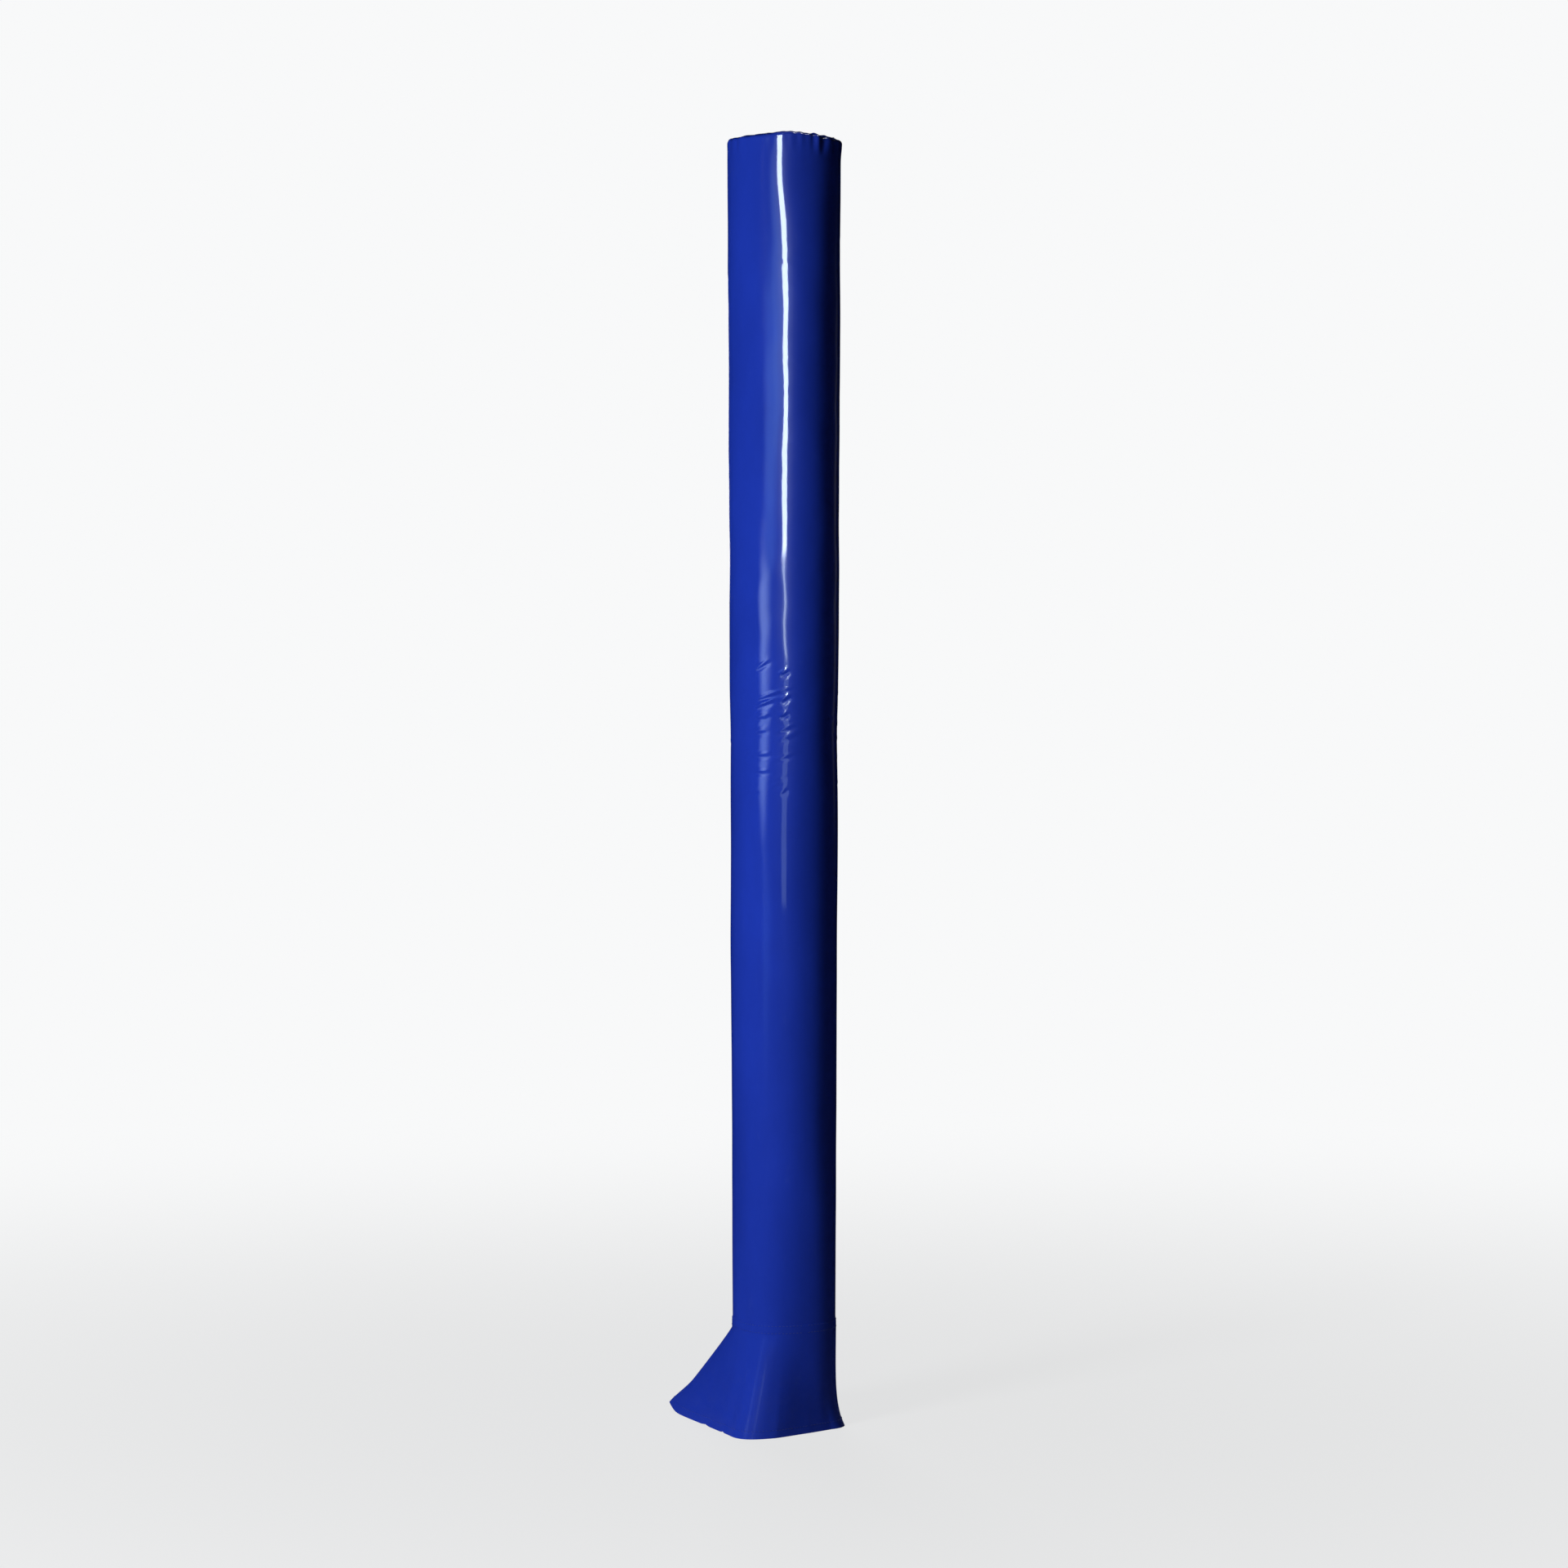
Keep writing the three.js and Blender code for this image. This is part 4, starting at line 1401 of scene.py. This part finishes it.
def make_stage():
    """The floor, the background, two lamps that light the pad, and those that only show in its gloss."""
    _sizes, colours = settings()
    make_floor(tuple(colours.floor))
    make_world(tuple(colours.floor))
    make_dark_surround()
    lamp("side_softbox", 203, 5.2, 2.3, (1.3, 3.4), 19.0, glossy=False)
    lamp("rear_softbox", 75, 6.0, 3.0, (2.6, 3.2), 9.0, glossy=False)
    lamp("rear_sheen", 75, 1.7, 1.9, (0.5, 1.0), 2.0, diffuse=False)
    lamp("strip_lamp", 243, 1.7, 2.24, (0.29, 1.06), 46.0, diffuse=False, aim_height=2.1, tint=PALE_SKY)
    lamp("fading_strip", 243, 1.69, 1.62, (0.13, 0.26), 13.0, diffuse=False, aim_height=1.6, tint=PALE_SKY)
    lamp("faint_strip", 243, 1.7, 1.30, (0.30, 0.80), 2.8, diffuse=False, tint=DEEP_SKY)
    lamp("high_glint", 322, 1.2, 4.6, (0.4, 0.4), 60.0, diffuse=False, aim_height=2.45)
    bpy.context.scene.view_settings.view_transform = "Standard"


def make_finishes():
    """All the materials of the pieces."""
    _sizes, colours = settings()
    tarpaulin_finish("blue_tarpaulin", tuple(colours.tarpaulin))
    tarpaulin_finish("dark_tarpaulin", tuple(colours.inner_tarpaulin), 0.45, 0.1)
    cloth_finish("grey_liner", tuple(colours.liner))
    foam_finish("pale_foam", tuple(colours.foam))
    tape_finish("loop_pile", tuple(colours.tape), 700)
    tape_finish("hook_pile", tuple(colours.tape), 1100)
    thread_finish("blue_thread", tuple(colours.thread))
    thread_finish("black_thread", shade(tuple(colours.tape), 1.5))


# Operators, panel and registration


class POSTPAD_OT_camera(bpy.types.Operator):
    """Set the camera where the picture was taken from"""

    bl_idname = "post_pad.camera"
    bl_label = "Camera"

    def execute(self, context):
        make_camera()
        return {"FINISHED"}


class POSTPAD_OT_finishes(bpy.types.Operator):
    """Make the tarpaulin, cloth, foam, tape and thread materials"""

    bl_idname = "post_pad.finishes"
    bl_label = "Finishes"

    def execute(self, context):
        make_finishes()
        return {"FINISHED"}


class POSTPAD_OT_foam(bpy.types.Operator):
    """Make the ten foam lengths"""

    bl_idname = "post_pad.foam"
    bl_label = "Foam"

    def execute(self, context):
        make_foam()
        return {"FINISHED"}


class POSTPAD_OT_liners(bpy.types.Operator):
    """Make the five liner pockets round the foam"""

    bl_idname = "post_pad.liners"
    bl_label = "Liner pockets"

    def execute(self, context):
        make_liners()
        return {"FINISHED"}


class POSTPAD_OT_cover(bpy.types.Operator):
    """Make the tarpaulin cover in four quadrants, one round each corner"""

    bl_idname = "post_pad.cover"
    bl_label = "Cover"

    def execute(self, context):
        make_cover()
        return {"FINISHED"}


class POSTPAD_OT_caps(bpy.types.Operator):
    """Make the gathered top caps and the foot caps of the pockets"""

    bl_idname = "post_pad.caps"
    bl_label = "End caps"

    def execute(self, context):
        make_caps()
        return {"FINISHED"}


class POSTPAD_OT_skirt(bpy.types.Operator):
    """Make the flared skirt in four quadrants"""

    bl_idname = "post_pad.skirt"
    bl_label = "Skirt"

    def execute(self, context):
        make_skirt()
        return {"FINISHED"}


class POSTPAD_OT_closure(bpy.types.Operator):
    """Make the closure flap, its anchor strip and the hook and loop tapes"""

    bl_idname = "post_pad.closure"
    bl_label = "Closure"

    def execute(self, context):
        make_closure()
        return {"FINISHED"}


class POSTPAD_OT_stitching(bpy.types.Operator):
    """Sew the skirt, the flap and the tapes"""

    bl_idname = "post_pad.stitching"
    bl_label = "Stitching"

    def execute(self, context):
        make_stitching()
        return {"FINISHED"}


class POSTPAD_OT_stage(bpy.types.Operator):
    """Lay the floor and set the lamps and the background"""

    bl_idname = "post_pad.stage"
    bl_label = "Stage"

    def execute(self, context):
        make_stage()
        return {"FINISHED"}


STEPS = ("camera", "finishes", "foam", "liners", "cover", "caps", "skirt", "closure", "stitching", "stage")


class POSTPAD_PT_panel(bpy.types.Panel):
    """Lists the pad's steps with its sizes and colours"""

    bl_idname = "POSTPAD_PT_panel"
    bl_label = "Post pad"
    bl_space_type = "VIEW_3D"
    bl_region_type = "UI"
    bl_category = "Post pad"

    def draw(self, context):
        for group in (context.scene.pad_sizes, context.scene.pad_colours):
            box = self.layout.box()
            for name in group.__annotations__:
                box.prop(group, name)
        for step in STEPS:
            self.layout.operator(f"post_pad.{step}")


CLASSES = (
    PadSizes, PadColours, POSTPAD_OT_camera, POSTPAD_OT_finishes, POSTPAD_OT_foam, POSTPAD_OT_liners,
    POSTPAD_OT_cover, POSTPAD_OT_caps, POSTPAD_OT_skirt, POSTPAD_OT_closure, POSTPAD_OT_stitching,
    POSTPAD_OT_stage, POSTPAD_PT_panel,
)


def register():
    """Adds the panel, the steps and their settings to Blender."""
    for each in CLASSES:
        bpy.utils.register_class(each)
    bpy.types.Scene.pad_sizes = bpy.props.PointerProperty(type=PadSizes)
    bpy.types.Scene.pad_colours = bpy.props.PointerProperty(type=PadColours)


def unregister():
    """Takes them out again."""
    del bpy.types.Scene.pad_colours
    del bpy.types.Scene.pad_sizes
    for each in reversed(CLASSES):
        bpy.utils.unregister_class(each)


def main():
    """Builds the pad and its stage."""
    register()
    for step in STEPS:
        getattr(bpy.ops.post_pad, step)()


if __name__ == "__main__":
    main()
